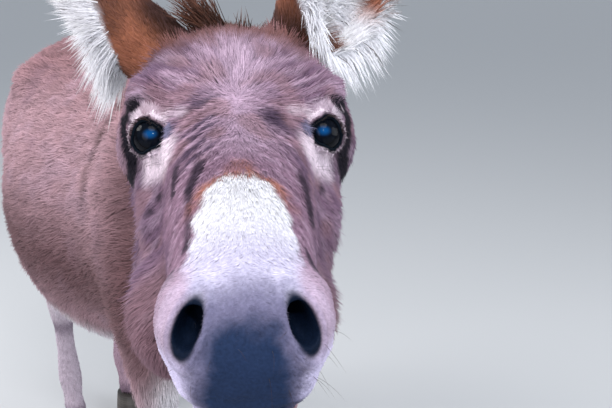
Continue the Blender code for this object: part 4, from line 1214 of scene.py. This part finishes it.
PATCH = 0.003  # size of one tuft's place on the unwrap
TUFTS_PER_PIECE = 48000
TUFT_SINK = (0.0006, 0.25)  # of the root under the skin: a length, and a share of the tuft's width
TUFT_CREST = 0.30  # height of the tuft's back over the skin, as a share of its width
GUARD_HAIRS = 0.04  # share of the tufts that are half as bright


def tuft_unwrap(at):
    """Each tuft laid in a small patch round its root's place on the skin's unwrap."""
    corner = np.array([(-0.35, -0.5), (0.35, -0.5), (0.0, -0.3), (0.0, 0.5)]) * PATCH
    shape = corner[TUFT_CORNERS].reshape(1, 12, 2)
    return (at[:, None, :] + shape).reshape(-1, 2)


def shade_as_skin(mesh, normals):
    """Gives hairs these normals, so that they are lit like the skin that they grow from."""
    mesh.normals_split_custom_set_from_vertices(normals.tolist())


def grow(stem, material, roots, normals, ways, length, width, lift, root_colours, tip_colours, at):
    """Tufts as pieces, ordered along the animal so that each piece is one stretch of it."""
    order = np.argsort(roots[:, 1])
    pieces = math.ceil(len(order) / TUFTS_PER_PIECE)
    for number, mine in enumerate(np.array_split(order, pieces)):
        out, way = normals[mine], ways[mine]
        points, faces = tuft_mesh(roots[mine], out, way, length[mine], width[mine], lift[mine])
        piece = piece_from(f"{stem}_{number + 1}", points, faces, material)
        across = np.cross(out, way)
        turned = np.stack([out - 0.7 * across, out + 0.7 * across, out - 0.25 * way, out + 0.35 * way], 1)
        shade_as_skin(piece.data, unit(turned.reshape(-1, 3)))
        # The sunk corners keep the root's darker colour and the crest is a little lighter: painted shade that
        # deepens towards the roots
        colours = np.stack([root_colours[mine]] * 2 + [root_colours[mine] * 1.1, tip_colours[mine]], axis=1)
        set_colours(piece.data, colours.reshape(-1, 3))
        set_unwrap(piece.data, tuft_unwrap(at[mine]))


def build_coat():
    settings = bpy.context.scene.donkey_coat
    rng = np.random.default_rng(settings.seed)
    points, labels = skin_arrays["points"], skin_arrays["labels"]
    length, width, lift, number = coat_rules(points, labels)
    way = lie_of_coat(points, skin_arrays["normals"], labels)
    where, shares, roots, normals, at = rooted(number, rng)
    normals = unit(normals)
    way, length, width, lift = (spread_over(v, where, shares) for v in (way, length, width, lift))
    nearest = labels[skin_arrays["triangles"][where, 0]]

    # Hair bunches into clumps that share a slant, with darker partings between them
    clump, finer = Grain(21), Grain(22)
    scale = np.clip(length * 0.55, 0.004, 0.014)[:, None]
    slant = clump(roots / scale, 1.0) * 0.26 + finer(roots / (scale * 0.4), 1.0) * 0.16
    slant += rng.normal(0, 0.14, len(roots)) * (1 + 2.5 * near_whorl(roots))
    rise = finer(roots / scale + 7.3, 1.0)
    nose = ramp(head_coordinates(roots)[:, 0], 0.33, 0.38)
    slant, rise = slant * (1 - 0.65 * nose), rise * (1 - 0.7 * nose)
    across = np.cross(normals, way)
    way = unit(way * np.cos(slant)[:, None] + across * np.sin(slant)[:, None])
    way = unit(way - normals * (way * normals).sum(axis=1)[:, None])
    whorl = near_whorl(roots)
    lift = lift * (1 + 0.28 * rise + rng.normal(0, 0.18, len(roots))) * (1 - 0.4 * whorl)
    length = length * (1 + 0.15 * rise) * rng.uniform(0.75, 1.18, len(roots)) * (1 - 0.3 * whorl)
    width = width * rng.uniform(0.75, 1.25, len(roots))

    # Each hair takes the markings of the place that it covers, near its root and near its tip; its root is
    # darker, partly darker hair and partly painted shade deep in the coat
    shade = np.clip(1 + 0.09 * rng.normal(0, 1, len(roots)) + 0.12 * rise, 0.6, 1.35)[:, None]
    root_colours = markings(roots + way * (0.55 * length)[:, None], nearest) * shade
    root_colours = root_colours * (0.56 + 0.28 * ramp(root_colours[:, 1], 0.35, 0.75))[:, None]
    tip_colours = markings(roots + way * (0.85 * length)[:, None], nearest) * shade * 1.06
    tip_colours = mix(tip_colours, colour("pale"), np.full(len(roots), 0.04))
    guard = rng.random(len(roots)) < GUARD_HAIRS
    root_colours[guard] *= 0.5
    tip_colours[guard] *= 0.5
    material = fur_material("coat", 0.65, 0.02, 0.0, 260.0)
    grow("coat", material, roots, normals, way, length, width, np.clip(lift, 0.03, 1.2), root_colours,
         tip_colours, at)


# ---------------------------------------------------------------- long hair


LOCK_SIDES = 3


def lock_mesh(paths, radii):
    """Closed three-sided locks along paths (lock, ring, xyz), ending in a point."""
    count, rings = paths.shape[:2]
    along = unit(np.gradient(paths, axis=1).reshape(-1, 3)).reshape(paths.shape)
    helper = np.where(np.abs(along[..., 2:3]) > 0.9, np.array([1.0, 0, 0]), np.array([0, 0, 1.0]))
    across = unit(np.cross(along, helper).reshape(-1, 3)).reshape(paths.shape)
    third = np.cross(along, across)
    angles = np.arange(LOCK_SIDES) * 2 * math.pi / LOCK_SIDES
    circle = (np.cos(angles)[None, None, :, None] * across[:, :, None, :]
              + np.sin(angles)[None, None, :, None] * third[:, :, None, :])
    body = paths[:, :-1, None, :] + circle[:, :-1] * radii[:, :-1, None, None]
    points = np.concatenate([body.reshape(count, -1, 3), paths[:, -1:, :]], axis=1)
    faces = [(0, 2, 1)]
    for ring in range(rings - 2):
        first = ring * LOCK_SIDES
        for k in range(LOCK_SIDES):
            a, b = first + k, first + (k + 1) % LOCK_SIDES
            faces += [(a, b, b + LOCK_SIDES), (a, b + LOCK_SIDES, a + LOCK_SIDES)]
    last, tip = (rings - 2) * LOCK_SIDES, (rings - 1) * LOCK_SIDES
    faces += [(last + k, last + (k + 1) % LOCK_SIDES, tip) for k in range(LOCK_SIDES)]
    per = points.shape[1]
    all_faces = (np.arange(count) * per)[:, None, None] + np.array(faces)[None]
    return points.reshape(-1, 3), all_faces.reshape(-1, 3), per, len(faces)


def grow_locks(name, material, paths, radii, root_colours, tip_colours, at, replaced=(), lit=None):
    """Locks as one piece. lit is a direction for each lock, which its shading leans towards."""
    count, rings = paths.shape[:2]
    points, faces, per, each = lock_mesh(paths, radii)
    a, b, c = (points[faces[:each, k]] for k in range(3))
    middle = points[:per].mean(axis=0)
    if np.einsum("ij,ij->i", a - middle, np.cross(b - middle, c - middle)).sum() < 0:
        faces = faces[:, ::-1]
    piece = piece_from(name, points, faces, material)
    if lit is not None:
        around = normals_of(points, faces).reshape(count, per, 3)
        shade_as_skin(piece.data, unit((around * 0.5 + lit[:, None, :]).reshape(-1, 3)))
    share = np.concatenate([np.repeat(np.linspace(0, 1, rings)[:-1], LOCK_SIDES), [1.0]])
    colours = (root_colours[:, None, :] * (1 - share[None, :, None])
               + tip_colours[:, None, :] * share[None, :, None])
    set_colours(piece.data, colours.reshape(-1, 3))
    turn = np.concatenate([np.tile(np.arange(LOCK_SIDES) / LOCK_SIDES - 0.33, rings - 1), [0.0]])
    flat = np.stack([turn * PATCH, (share - 0.5) * PATCH], axis=1)
    places = at[:, None, :] + flat[None]
    set_unwrap(piece.data, places.reshape(-1, 2)[faces.ravel()])
    if replaced:
        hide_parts(*replaced)


def nearest_on_skin(points):
    """The unwrap, the normal and the place of the skin that are nearest to these places."""
    tree = skin_arrays.get("tree")
    if tree is None:
        tree = BVHTree.FromPolygons(skin_arrays["points"].tolist(), skin_arrays["triangles"].tolist())
        skin_arrays["tree"] = tree
    at, normals, hits = (np.empty((len(points), wide)) for wide in (2, 3, 3))
    for i, p in enumerate(points.tolist()):
        hit, normal, face, _ = tree.find_nearest(p)
        at[i], normals[i], hits[i] = skin_arrays["corners"][face].mean(axis=0), normal, hit
    return at, normals, hits


def bent_paths(roots, ways, length, droop, rings, rng, wander=0.12):
    """Paths that set out along ways and bend by droop (a vector per lock) towards their ends."""
    t = np.linspace(0, 1, rings)[None, :, None]
    sideways = unit(rng.normal(0, 1, (len(roots), 3)))
    paths = roots[:, None, :] + ways[:, None, :] * (length[:, None, None] * t)
    paths = paths + droop[:, None, :] * (length[:, None, None] * t ** 2)
    return paths + sideways[:, None, :] * (length[:, None, None] * wander * t ** 2)


def taper(count, rings, radius):
    """Radii along each lock, down to a quarter at its end."""
    t = np.linspace(0, 1, rings)[None, :]
    return np.broadcast_to(radius, count)[:, None] * (1 - 0.75 * t ** 1.5)


CREST_POLL = (-0.119, -0.774, 1.173)  # where the poll stands for the crest below
# Places along the crest, and the mane's height there
CREST = ((-0.094, -0.700, 1.130, 0.020), (-0.052, -0.600, 1.098, 0.050), (-0.018, -0.490, 1.070, 0.076),
         (0.000, -0.380, 1.064, 0.068), (0.000, -0.290, 1.066, 0.045))
# Loose clumps of the forelock: forwards and to the side of the poll, lean, length and share of the locks
FORELOCK = ((0.018, -0.021, -0.50, 0.078, 0.42), (0.026, -0.026, -0.75, 0.056, 0.22),
            (0.012, -0.012, -0.36, 0.074, 0.24), (0.022, 0.010, 0.0, 0.040, 0.05),
            (0.018, 0.034, 0.45, 0.032, 0.07))
LASHES = 64  # over each eye


def grow_mane(settings, rng, hair):
    """Roots along the crest line under the solid ridge, standing up and leaning a little."""
    brown, rust = colour("brown"), colour("rust")
    shift = POLL_NP - np.array(CREST_POLL)
    crest = np.array([[*on_head(-0.010, 0, -0.012), 0.010],
                      *([*(np.array(place) + shift), height] for *place, height in CREST)])
    count = settings.mane_locks
    t = rng.random(count) * (len(crest) - 1.001)
    i = t.astype(int)
    start = crest[i] + (crest[i + 1] - crest[i]) * (t - i)[:, None]
    across = unit(np.cross(crest[i + 1, :3] - crest[i, :3], np.array([[0, 0, 1.0]])))
    side = rng.normal(0, 0.45, count)
    roots = start[:, :3] + across * (side * 0.013)[:, None] + np.array([0, 0, 0.004])
    at, _, hits = nearest_on_skin(roots)
    roots = hits - np.array([0, 0, 0.003])
    clump = Grain(51)(start[:, :3], 0.016)
    length = start[:, 3] * (0.94 + 0.10 * clump + rng.uniform(-0.14, 0.05, count)) * settings.mane_length
    ways = unit(np.tile([-0.06, 0.16, 1.0], (count, 1)) + across * (side * 0.22 + 0.12 * clump)[:, None]
                + rng.normal(0, 0.05, (count, 3)))
    droop = np.stack([rng.normal(0, 0.08, count) - 0.05, 0.10 + rng.normal(0, 0.08, count),
                      np.full(count, -0.08)], axis=1)
    tone = rng.uniform(0.6, 1.3, count)[:, None]
    grow_locks("mane_hair", hair, bent_paths(roots, ways, length, droop, 5, rng, 0.08),
               taper(count, 5, rng.uniform(0.0009, 0.0016, count)), brown * 0.7 * tone,
               mix(brown * 1.5 * tone, rust, rng.uniform(0, 0.15, count)), at, ["mane"])


def grow_forelock(settings, rng, hair):
    """A few loose clumps between the ears, most of them leaning to the right."""
    brown, rust = colour("brown"), colour("rust")
    count = settings.forelock_locks
    which = rng.choice(len(FORELOCK), count, p=[clump[4] for clump in FORELOCK])
    forward, aside, lean, reach = np.array(FORELOCK)[which, :4].T
    offset = rng.normal(0, 0.0050, (count, 2))
    places = np.stack([forward + offset[:, 0], aside + offset[:, 1], np.full(count, -0.004)], 1)
    at, normals, hits = nearest_on_skin(POLL_NP + places @ HEAD_NP.T)
    roots = hits - normals * 0.003
    ways = unit(np.stack([0.30 - offset[:, 0] * 9, lean - offset[:, 1] * 9 + rng.normal(0, 0.07, count),
                          np.full(count, 1.0)], axis=1)) @ HEAD_NP.T
    length = reach * rng.uniform(0.55, 1.0, count)
    droop = np.outer(lean * 0.35, HEAD_NP[:, 1]) + rng.normal(0, 0.08, (count, 3))
    tone = rng.uniform(0.7, 1.5, count)[:, None]
    grow_locks("forelock_hair", hair, bent_paths(roots, ways, length, droop, 5, rng, 0.12),
               taper(count, 5, rng.uniform(0.0005, 0.0010, count)), brown * 0.8 * tone,
               mix(brown * 1.7 * tone, rust, rng.uniform(0.0, 0.35, count)), at, ["forelock"])


def grow_tail(settings, rng, hair):
    """Long hair round the end of the dock."""
    brown, rust = colour("brown"), colour("rust")
    low, high = (np.array(v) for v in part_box("tail_switch"))
    count = settings.tail_locks
    middle = (low + high) / 2
    angle, rise = rng.random(count) * 2 * math.pi, rng.random(count)
    top = high[2] + 0.03
    aside, behind = np.cos(angle), np.sin(angle)
    roots = np.stack([middle[0] + 0.010 * aside, middle[1] + 0.010 * behind, top - 0.13 * rise], axis=1)
    length = (top - low[2] - 0.13 * rise) * rng.uniform(0.45, 0.97, count) ** 0.7
    spread = rng.uniform(0.05, 0.20, count)
    ways = unit(np.stack([aside * spread, behind * spread, np.full(count, -1.0)], axis=1))
    droop = np.stack([-aside * spread, -behind * spread, np.zeros(count)], axis=1) * 1.1
    tone = rng.uniform(0.6, 1.6, count)[:, None]
    at, _, _ = nearest_on_skin(roots)
    grow_locks("tail_hair", hair, bent_paths(roots, ways, length, droop, 8, rng, 0.05),
               taper(count, 8, rng.uniform(0.0008, 0.0015, count)), brown * 0.8 * tone,
               mix(brown * 1.3 * tone, rust, rng.uniform(0, 0.3, count)), at, ["tail_switch"])


def grow_ear_hair(side, settings, rng, hair):
    """Streams out of the hollow from its walls and rims, and hangs over its foot."""
    brown, white, axes = colour("brown"), colour("white"), ear_axes(side)
    points = skin_arrays["points"]
    inner = inside_ear(side, points) * part_of(skin_arrays["labels"], side + "_ear")
    share = ear_coordinates(side, points)[0]
    density = inner * np.interp(share, (0.0, 0.1, 0.55, 0.75, 0.9), (1.5, 1.2, 0.8, 0.3, 0.0)) * 240000
    density = density * (1 - 0.85 * deep_in_ear(side, points)) * (1 - 0.9 * far_rim(side, points))
    _, _, roots, normals, at = rooted(density * settings.ear_hair, rng)
    share, _, across = ear_coordinates(side, roots)
    count = len(roots)
    low = ramp(-share, -0.34, -0.10)
    clump = Grain(53)(roots, 0.012)
    ways = np.outer(0.60 + 0.25 * low, axes[:, 0]) + np.outer(0.90 - 0.90 * low, axes[:, 2])
    ways = ways + np.outer(across / 0.050 * 0.45 + 0.18 * clump, axes[:, 1]) + normals * 0.10
    ways = ways + rng.normal(0, 0.09, (count, 3))
    length = np.interp(share, (0.0, 0.2, 0.6, 0.9), (0.040, 0.036, 0.027, 0.015))
    length = length * rng.uniform(0.5, 1.1, count)
    droop = np.outer(-0.10 - 0.85 * low, HEAD_NP[:, 2]) + rng.normal(0, 0.10, (count, 3))
    tone = rng.uniform(0.92, 1.08, count)[:, None]
    dark = (rng.random(count) < 0.02)[:, None]
    lit = axes[:, 0] * 0.9 + HEAD_NP[:, 2] * 0.4 + HEAD_NP[:, 0] * 0.5 + clump[:, None] * 0.15
    paths = bent_paths(roots - normals * 0.001, unit(ways), length, droop, 3, rng, 0.10)
    grow_locks(side + "_ear_hair", hair, paths, taper(count, 3, rng.uniform(0.0004, 0.0008, count)),
               np.where(dark, brown, white * tone), np.where(dark, brown, white * 1.08 * tone), at,
               lit=lit)


def grow_lashes(side, rng, hair):
    """Along the upper lid, longest over its middle."""
    axes = eye_axes(side)
    turns = np.linspace(0.20, 2.85, LASHES) + rng.normal(0, 0.02, LASHES)
    roots = from_angles(side, *lid_loop(turns), EYE_RADIUS + 0.0012)
    outward = unit(roots - eye_middle(side))
    ways = unit(outward * 0.9 + axes[:, 0] * 0.5 + rng.normal(0, 0.10, (LASHES, 3)) - axes[:, 2] * 0.10)
    length = np.interp(turns, (0.2, 0.9, 2.0, 2.85), (0.006, 0.013, 0.011, 0.005))
    length = length * rng.uniform(0.7, 1.1, LASHES)
    droop = np.tile(-axes[:, 2] * 0.25, (LASHES, 1)) + rng.normal(0, 0.06, (LASHES, 3))
    at, _, _ = nearest_on_skin(roots)
    grow_locks(side + "_lashes", hair, bent_paths(roots, ways, length, droop, 5, rng, 0.04),
               taper(LASHES, 5, 0.00028), np.tile(colour("brown") * 0.4, (LASHES, 1)),
               np.tile(colour("brown") * 0.6, (LASHES, 1)), at)


def grow_feelers(rng, hair):
    """Single stiff hairs on the lips and chin and under the eyes."""
    points = skin_arrays["points"]
    place = head_coordinates(points)
    density = ramp(place[:, 0], 0.40, 0.44) * ramp(-place[:, 2], 0.05, 0.10) * 1300
    for side in SIDES:
        reach, _, up_angle = eye_view(side, points)
        density = density + bump(reach, 0.034, 0.010) * (up_angle < -0.1) * 5200
    _, _, roots, normals, at = rooted(density, rng)
    count = len(roots)
    droop = np.tile([0, 0.0, -0.35], (count, 1)) + rng.normal(0, 0.12, (count, 3))
    ways = unit(normals + rng.normal(0, 0.18, (count, 3)))
    paths = bent_paths(roots - normals * 0.0005, ways, rng.uniform(0.010, 0.028, count), droop, 6, rng, 0.05)
    grow_locks("feelers", hair, paths, taper(count, 6, 0.00014), np.tile(colour("brown") * 0.5, (count, 1)),
               np.tile(colour("brown") * 0.8, (count, 1)), at)


def build_long_hair():
    settings = bpy.context.scene.donkey_hair
    rng = np.random.default_rng(settings.seed)
    hair = fur_material("long_hair", 0.55, 0.06, 0.0, 300.0)
    grow_mane(settings, rng, hair)
    grow_forelock(settings, rng, hair)
    grow_tail(settings, rng, hair)
    for side in SIDES:
        grow_ear_hair(side, settings, rng, hair)
    for side in SIDES:
        grow_lashes(side, rng, hair)
    grow_feelers(rng, hair)


# ---------------------------------------------------------------- hooves and stage


HOOF_BEVEL = 0.0012
FLOOR_HALF = 70.0
FLOOR_DROP = 0.0002  # the floor lies this far under the hooves
SENSOR_WIDTH = 36.0  # in millimetres


def build_hooves():
    horn, nodes, links, shader = plain_material("hoof")
    place = nodes.new("ShaderNodeTexCoord")
    stretch = nodes.new("ShaderNodeMapping")
    stretch.inputs["Scale"].default_value = (6.0, 6.0, 150.0)
    rings = nodes.new("ShaderNodeTexNoise")
    rings.inputs["Scale"].default_value = 1.0
    rings.inputs["Detail"].default_value = 3.0
    links.new(place.outputs["Object"], stretch.inputs["Vector"])
    links.new(stretch.outputs["Vector"], rings.inputs["Vector"])
    fine = nodes.new("ShaderNodeTexNoise")
    fine.inputs["Scale"].default_value = 140.0
    links.new(place.outputs["Object"], fine.inputs["Vector"])
    shades = nodes.new("ShaderNodeValToRGB")
    shades.color_ramp.elements[0].position = 0.30
    shades.color_ramp.elements[0].color = (0.030, 0.026, 0.024, 1)
    shades.color_ramp.elements[1].position = 0.72
    shades.color_ramp.elements[1].color = (*bpy.context.scene.donkey_hooves.horn, 1)
    links.new(rings.outputs["Fac"], shades.inputs["Fac"])
    links.new(shades.outputs["Color"], shader.inputs["Base Color"])
    relief = nodes.new("ShaderNodeBump")
    relief.inputs["Distance"].default_value = 0.0012
    links.new(rings.outputs["Fac"], relief.inputs["Height"])
    second = nodes.new("ShaderNodeBump")
    second.inputs["Distance"].default_value = 0.0003
    links.new(fine.outputs["Fac"], second.inputs["Height"])
    links.new(relief.outputs["Normal"], second.inputs["Normal"])
    links.new(second.outputs["Normal"], shader.inputs["Normal"])
    shader.inputs["Roughness"].default_value = 0.55
    for name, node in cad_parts.items():
        if name.endswith("_hoof"):
            node.data.materials.clear()
            node.data.materials.append(horn)
            soft = node.modifiers.new("edge", "BEVEL")
            soft.width = HOOF_BEVEL
            soft.segments = 2
            soft.angle_limit = math.radians(35)


def lamp(name, place, aim, size, power, tint):
    data = bpy.data.lights.new(name, "AREA")
    data.shape = "DISK"
    data.size = size
    data.energy = power
    data.color = tint
    made = linked(name, data)
    made.location = place
    made.rotation_euler = (aim - place).to_track_quat("-Z", "Y").to_euler()
    return made


def build_stage():
    settings = bpy.context.scene.donkey_stage
    floor_colour = tuple(settings.floor)
    material, _ = mottled("studio_floor", 3.0, [c * 0.97 for c in floor_colour], floor_colour, 0.85)
    corners = np.array([(-1, -1), (1, -1), (1, 1), (-1, 1)]) * FLOOR_HALF
    corners = np.column_stack([corners, np.full(4, -FLOOR_DROP)])
    floor = linked("floor", mesh_from("floor", corners, np.array([(0, 1, 2), (0, 2, 3)])))
    floor.data.materials.append(material)

    world = bpy.data.worlds.new("studio")
    world.use_nodes = True
    back = world.node_tree.nodes["Background"]
    back.inputs["Color"].default_value = (*settings.air, 1)
    back.inputs["Strength"].default_value = settings.air_strength
    bpy.context.scene.world = world
    bpy.context.scene.view_settings.view_transform = "Standard"

    aim = on_head(0.25, 0, -0.05)
    stand = POLL + Vector(settings.camera_from_poll)
    above_camera = stand + Vector((0.14, 0.04, 0.22))
    behind = aim + Vector((0.2, 0.8, -0.2))
    lamps = [
        lamp("catch", above_camera, aim, 0.06, settings.catch, (0.80, 0.90, 1.0)),
        lamp("key", aim + Vector((-0.4, -1.5, 2.6)), aim, 2.0, settings.key, (1.0, 0.98, 0.97)),
        lamp("fill", aim + Vector((2.4, -1.6, 0.5)), aim, 2.2, settings.fill, (0.94, 0.96, 1.0)),
        lamp("side", aim + Vector((-2.4, -1.3, 0.4)), aim, 2.2, settings.side, (1.0, 0.97, 0.98)),
        lamp("rim", aim + Vector((-2.6, 2.6, 2.0)), behind, 1.8, settings.rim, (1.0, 0.98, 0.97)),
    ]

    data = bpy.data.cameras.new("camera")
    data.lens = settings.lens
    data.sensor_width = SENSOR_WIDTH
    data.clip_start, data.clip_end = 0.02, 100.0
    camera = linked("camera", data)
    camera.location = stand
    az, el = settings.camera_azimuth, settings.camera_elevation
    look = Vector((-math.sin(az) * math.cos(el), math.cos(az) * math.cos(el), math.sin(el)))
    camera.rotation_euler = look.to_track_quat("-Z", "Y").to_euler()
    bpy.context.scene.camera = camera


# ---------------------------------------------------------------- add-on


def colour_setting(name, words, default):
    return FloatVectorProperty(name=name, description=words, subtype="COLOR", size=3, min=0.0, max=1.0,
                               default=default)


def length_setting(name, words, default, low=0.0, high=1.0):
    return FloatProperty(name=name, description=words, subtype="DISTANCE", unit="LENGTH", default=default,
                         min=low, max=high, precision=4)


def power_setting(name, words, default):
    return FloatProperty(name=name, description=words, unit="POWER", default=default, min=0.0)


def share_setting(name, words, default, low, high):
    return FloatProperty(name=name, description=words, default=default, min=low, max=high)


def angle_setting(name, words, default):
    return FloatProperty(name=name, description=words, subtype="ANGLE", unit="ROTATION", default=default)


def count_setting(name, words, default, low, high):
    return IntProperty(name=name, description=words, default=default, min=low, max=high)


class DonkeyColours(bpy.types.PropertyGroup):
    grey: colour_setting("Face grey", "Lilac grey of the forehead and cheeks", (0.275, 0.160, 0.230))
    dark: colour_setting("Streaks", "Dark streaks and spots of the coat", (0.085, 0.052, 0.098))
    pale: colour_setting("Pale hair", "Pale tips and the ring round the eye", (0.60, 0.445, 0.580))
    eye_pale: colour_setting("Round the eye", "Palest hair, round and below the eyes", (0.80, 0.67, 0.76))
    warm: colour_setting("Warm hair", "Fawn tinge of the forehead and cheeks", (0.33, 0.185, 0.205))
    white: colour_setting("White", "White of the muzzle, belly and ear hair", (0.88, 0.87, 0.92))
    rust: colour_setting("Rust", "Rust brown of the ears and nose edge", (0.40, 0.150, 0.085))
    brown: colour_setting("Brown", "Dark brown of the mane and ear feet", (0.050, 0.024, 0.018))
    body: colour_setting("Body", "Brown grey of the ribs and thighs", (0.48, 0.300, 0.340))
    body_top: colour_setting("Body top", "Browner grey along the back", (0.33, 0.165, 0.175))
    nose_grey: colour_setting("Nose grey", "Grey above the nostrils", (0.155, 0.145, 0.235))
    nose_dark: colour_setting("Nose leather", "Bare dark skin of the nose and lids", (0.011, 0.025, 0.066))
    # Real lilac of the lips, and also the painted shade at the lower end of the white band
    lip: colour_setting("Lips", "Lilac white of the lips and the end of the nose", (0.540, 0.500, 0.680))


class DonkeySkin(bpy.types.PropertyGroup):
    voxel: length_setting("Blend grid", "Grid on which the solids are blended", 0.005, 0.002, 0.02)
    body_depth: length_setting("Body coat depth", "Depth of the skin under the coat of the body", 0.006,
                               0.0, 0.03)
    face_depth: length_setting("Face coat depth", "Depth of the skin under the coat of the face", 0.0032,
                               0.0, 0.02)
    base_triangles: count_setting("Base triangles", "Triangles before the head is refined", 92000,
                                  20000, 180000)


class DonkeyEyes(bpy.types.PropertyGroup):
    iris: colour_setting("Iris", "Nearly black iris", (0.0020, 0.0030, 0.0060))
    # The pupil is painted with a blue reflection of the sky
    pupil_sky_reflection: colour_setting("Pupil", "Blue sheen of the pupil", (0.002, 0.048, 0.160))
    white: colour_setting("White of the eye", "The little of it that shows", (0.0040, 0.0045, 0.0070))


class DonkeyCoat(bpy.types.PropertyGroup):
    seed: IntProperty(name="Seed", description="Seed of the coat's random choices", default=5, min=0)
    density: share_setting("Density", "Number of tufts against the normal coat", 1.0, 0.05, 1.2)
    body_length: length_setting("Body hair", "Length of the tufts on the body", 0.027, 0.003, 0.08)
    body_width: length_setting("Body tuft width", "Width of the tufts on the body", 0.0023, 0.0005, 0.01)
    face_length: length_setting("Face hair", "Length of the tufts on the nose and cheeks", 0.012, 0.002, 0.04)


class DonkeyHair(bpy.types.PropertyGroup):
    seed: IntProperty(name="Seed", description="Seed of the long hair", default=9, min=0)
    mane_locks: count_setting("Mane locks", "Locks in the mane", 2300, 10, 6000)
    mane_length: share_setting("Mane length", "Length against the normal mane", 1.0, 0.3, 1.1)
    forelock_locks: count_setting("Forelock locks", "Locks in the forelock", 330, 10, 2000)
    tail_locks: count_setting("Tail locks", "Locks in the tail's switch", 700, 10, 3000)
    ear_hair: share_setting("Ear hair", "Amount of the white ear hair", 1.0, 0.1, 2.0)


class DonkeyHooves(bpy.types.PropertyGroup):
    horn: colour_setting("Horn", "Lighter rings of the horn", (0.115, 0.100, 0.090))


class DonkeyStage(bpy.types.PropertyGroup):
    floor: colour_setting("Floor", "Plain pale floor", (0.60, 0.61, 0.62))
    air: colour_setting("Surroundings", "Colour of the light from all round", (0.80, 0.86, 0.95))
    air_strength: share_setting("Surroundings", "Strength of the light from all round", 0.66, 0.0, 5.0)
    key: power_setting("Key light", "Power of the main light", 80.0)
    fill: power_setting("Fill light", "Power of the light opposite", 44.0)
    side: power_setting("Side light", "Power of the light on the right", 42.0)
    catch: power_setting("Catch light", "Power of the small light that glints in the eyes", 2.0)
    rim: power_setting("Rim light", "Power of the light from behind", 110.0)
    lens: FloatProperty(name="Lens", description="Focal length in millimetres on a 36 mm sensor",
                        default=50.0, min=10.0)
    camera_from_poll: FloatVectorProperty(name="Camera", description="Camera's place from the poll",
                                          subtype="TRANSLATION", unit="LENGTH", size=3,
                                          default=(-0.411, -0.923, 0.073))
    camera_azimuth: angle_setting("Camera azimuth", "Turn of the camera from straight ahead",
                                  math.radians(-28.80))
    camera_elevation: angle_setting("Camera elevation", "Tilt of the camera above the horizon",
                                    math.radians(-16.13))


class DONKEY_OT_skin(bpy.types.Operator):
    """One skin over the head, neck, trunk, ears, legs and tail, under the depth of the coat"""
    bl_idname = "donkey.skin"
    bl_label = "Build skin"

    def execute(self, context):
        build_skin()
        return {"FINISHED"}


class DONKEY_OT_eyes(bpy.types.Operator):
    """Eyeballs, the wet rims of the lids and the pads in their front corners"""
    bl_idname = "donkey.eyes"
    bl_label = "Build eyes"

    def execute(self, context):
        build_eyes()
        return {"FINISHED"}


class DONKEY_OT_coat(bpy.types.Operator):
    """Short coat of solid tufts rooted all over the skin"""
    bl_idname = "donkey.coat"
    bl_label = "Grow coat"

    def execute(self, context):
        build_coat()
        return {"FINISHED"}


class DONKEY_OT_long_hair(bpy.types.Operator):
    """Mane, forelock, tail switch, ear hair, lashes and feelers"""
    bl_idname = "donkey.long_hair"
    bl_label = "Grow long hair"

    def execute(self, context):
        build_long_hair()
        return {"FINISHED"}


class DONKEY_OT_hooves(bpy.types.Operator):
    """Ringed horn on the four hooves"""
    bl_idname = "donkey.hooves"
    bl_label = "Finish hooves"

    def execute(self, context):
        build_hooves()
        return {"FINISHED"}


class DONKEY_OT_stage(bpy.types.Operator):
    """Pale floor, soft lights and the camera"""
    bl_idname = "donkey.stage"
    bl_label = "Set stage"

    def execute(self, context):
        build_stage()
        return {"FINISHED"}


SETTINGS = {
    "donkey_colours": DonkeyColours,
    "donkey_skin": DonkeySkin,
    "donkey_eyes": DonkeyEyes,
    "donkey_coat": DonkeyCoat,
    "donkey_hair": DonkeyHair,
    "donkey_hooves": DonkeyHooves,
    "donkey_stage": DonkeyStage,
}
OPERATORS = (DONKEY_OT_skin, DONKEY_OT_eyes, DONKEY_OT_coat, DONKEY_OT_long_hair, DONKEY_OT_hooves,
             DONKEY_OT_stage)


class DONKEY_PT_panel(bpy.types.Panel):
    """The steps that build the donkey, in order, with their settings"""
    bl_idname = "DONKEY_PT_panel"
    bl_label = "Donkey"
    bl_space_type = "VIEW_3D"
    bl_region_type = "UI"
    bl_category = "Donkey"

    def draw(self, context):
        for operator in OPERATORS:
            self.layout.operator(operator.bl_idname)
        for name, group in SETTINGS.items():
            box = self.layout.box()
            box.label(text=name.replace("donkey_", "").capitalize())
            for field in group.__annotations__:
                box.prop(getattr(context.scene, name), field)


def register():
    for cls in (*SETTINGS.values(), *OPERATORS, DONKEY_PT_panel):
        bpy.utils.register_class(cls)
    for name, group in SETTINGS.items():
        setattr(bpy.types.Scene, name, PointerProperty(type=group))


def unregister():
    for name in SETTINGS:
        delattr(bpy.types.Scene, name)
    for cls in reversed((*SETTINGS.values(), *OPERATORS, DONKEY_PT_panel)):
        bpy.utils.unregister_class(cls)


def main():
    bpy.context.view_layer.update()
    register()
    bpy.ops.donkey.skin()
    bpy.ops.donkey.eyes()
    bpy.ops.donkey.coat()
    bpy.ops.donkey.long_hair()
    bpy.ops.donkey.hooves()
    bpy.ops.donkey.stage()


if __name__ == "__main__":
    main()
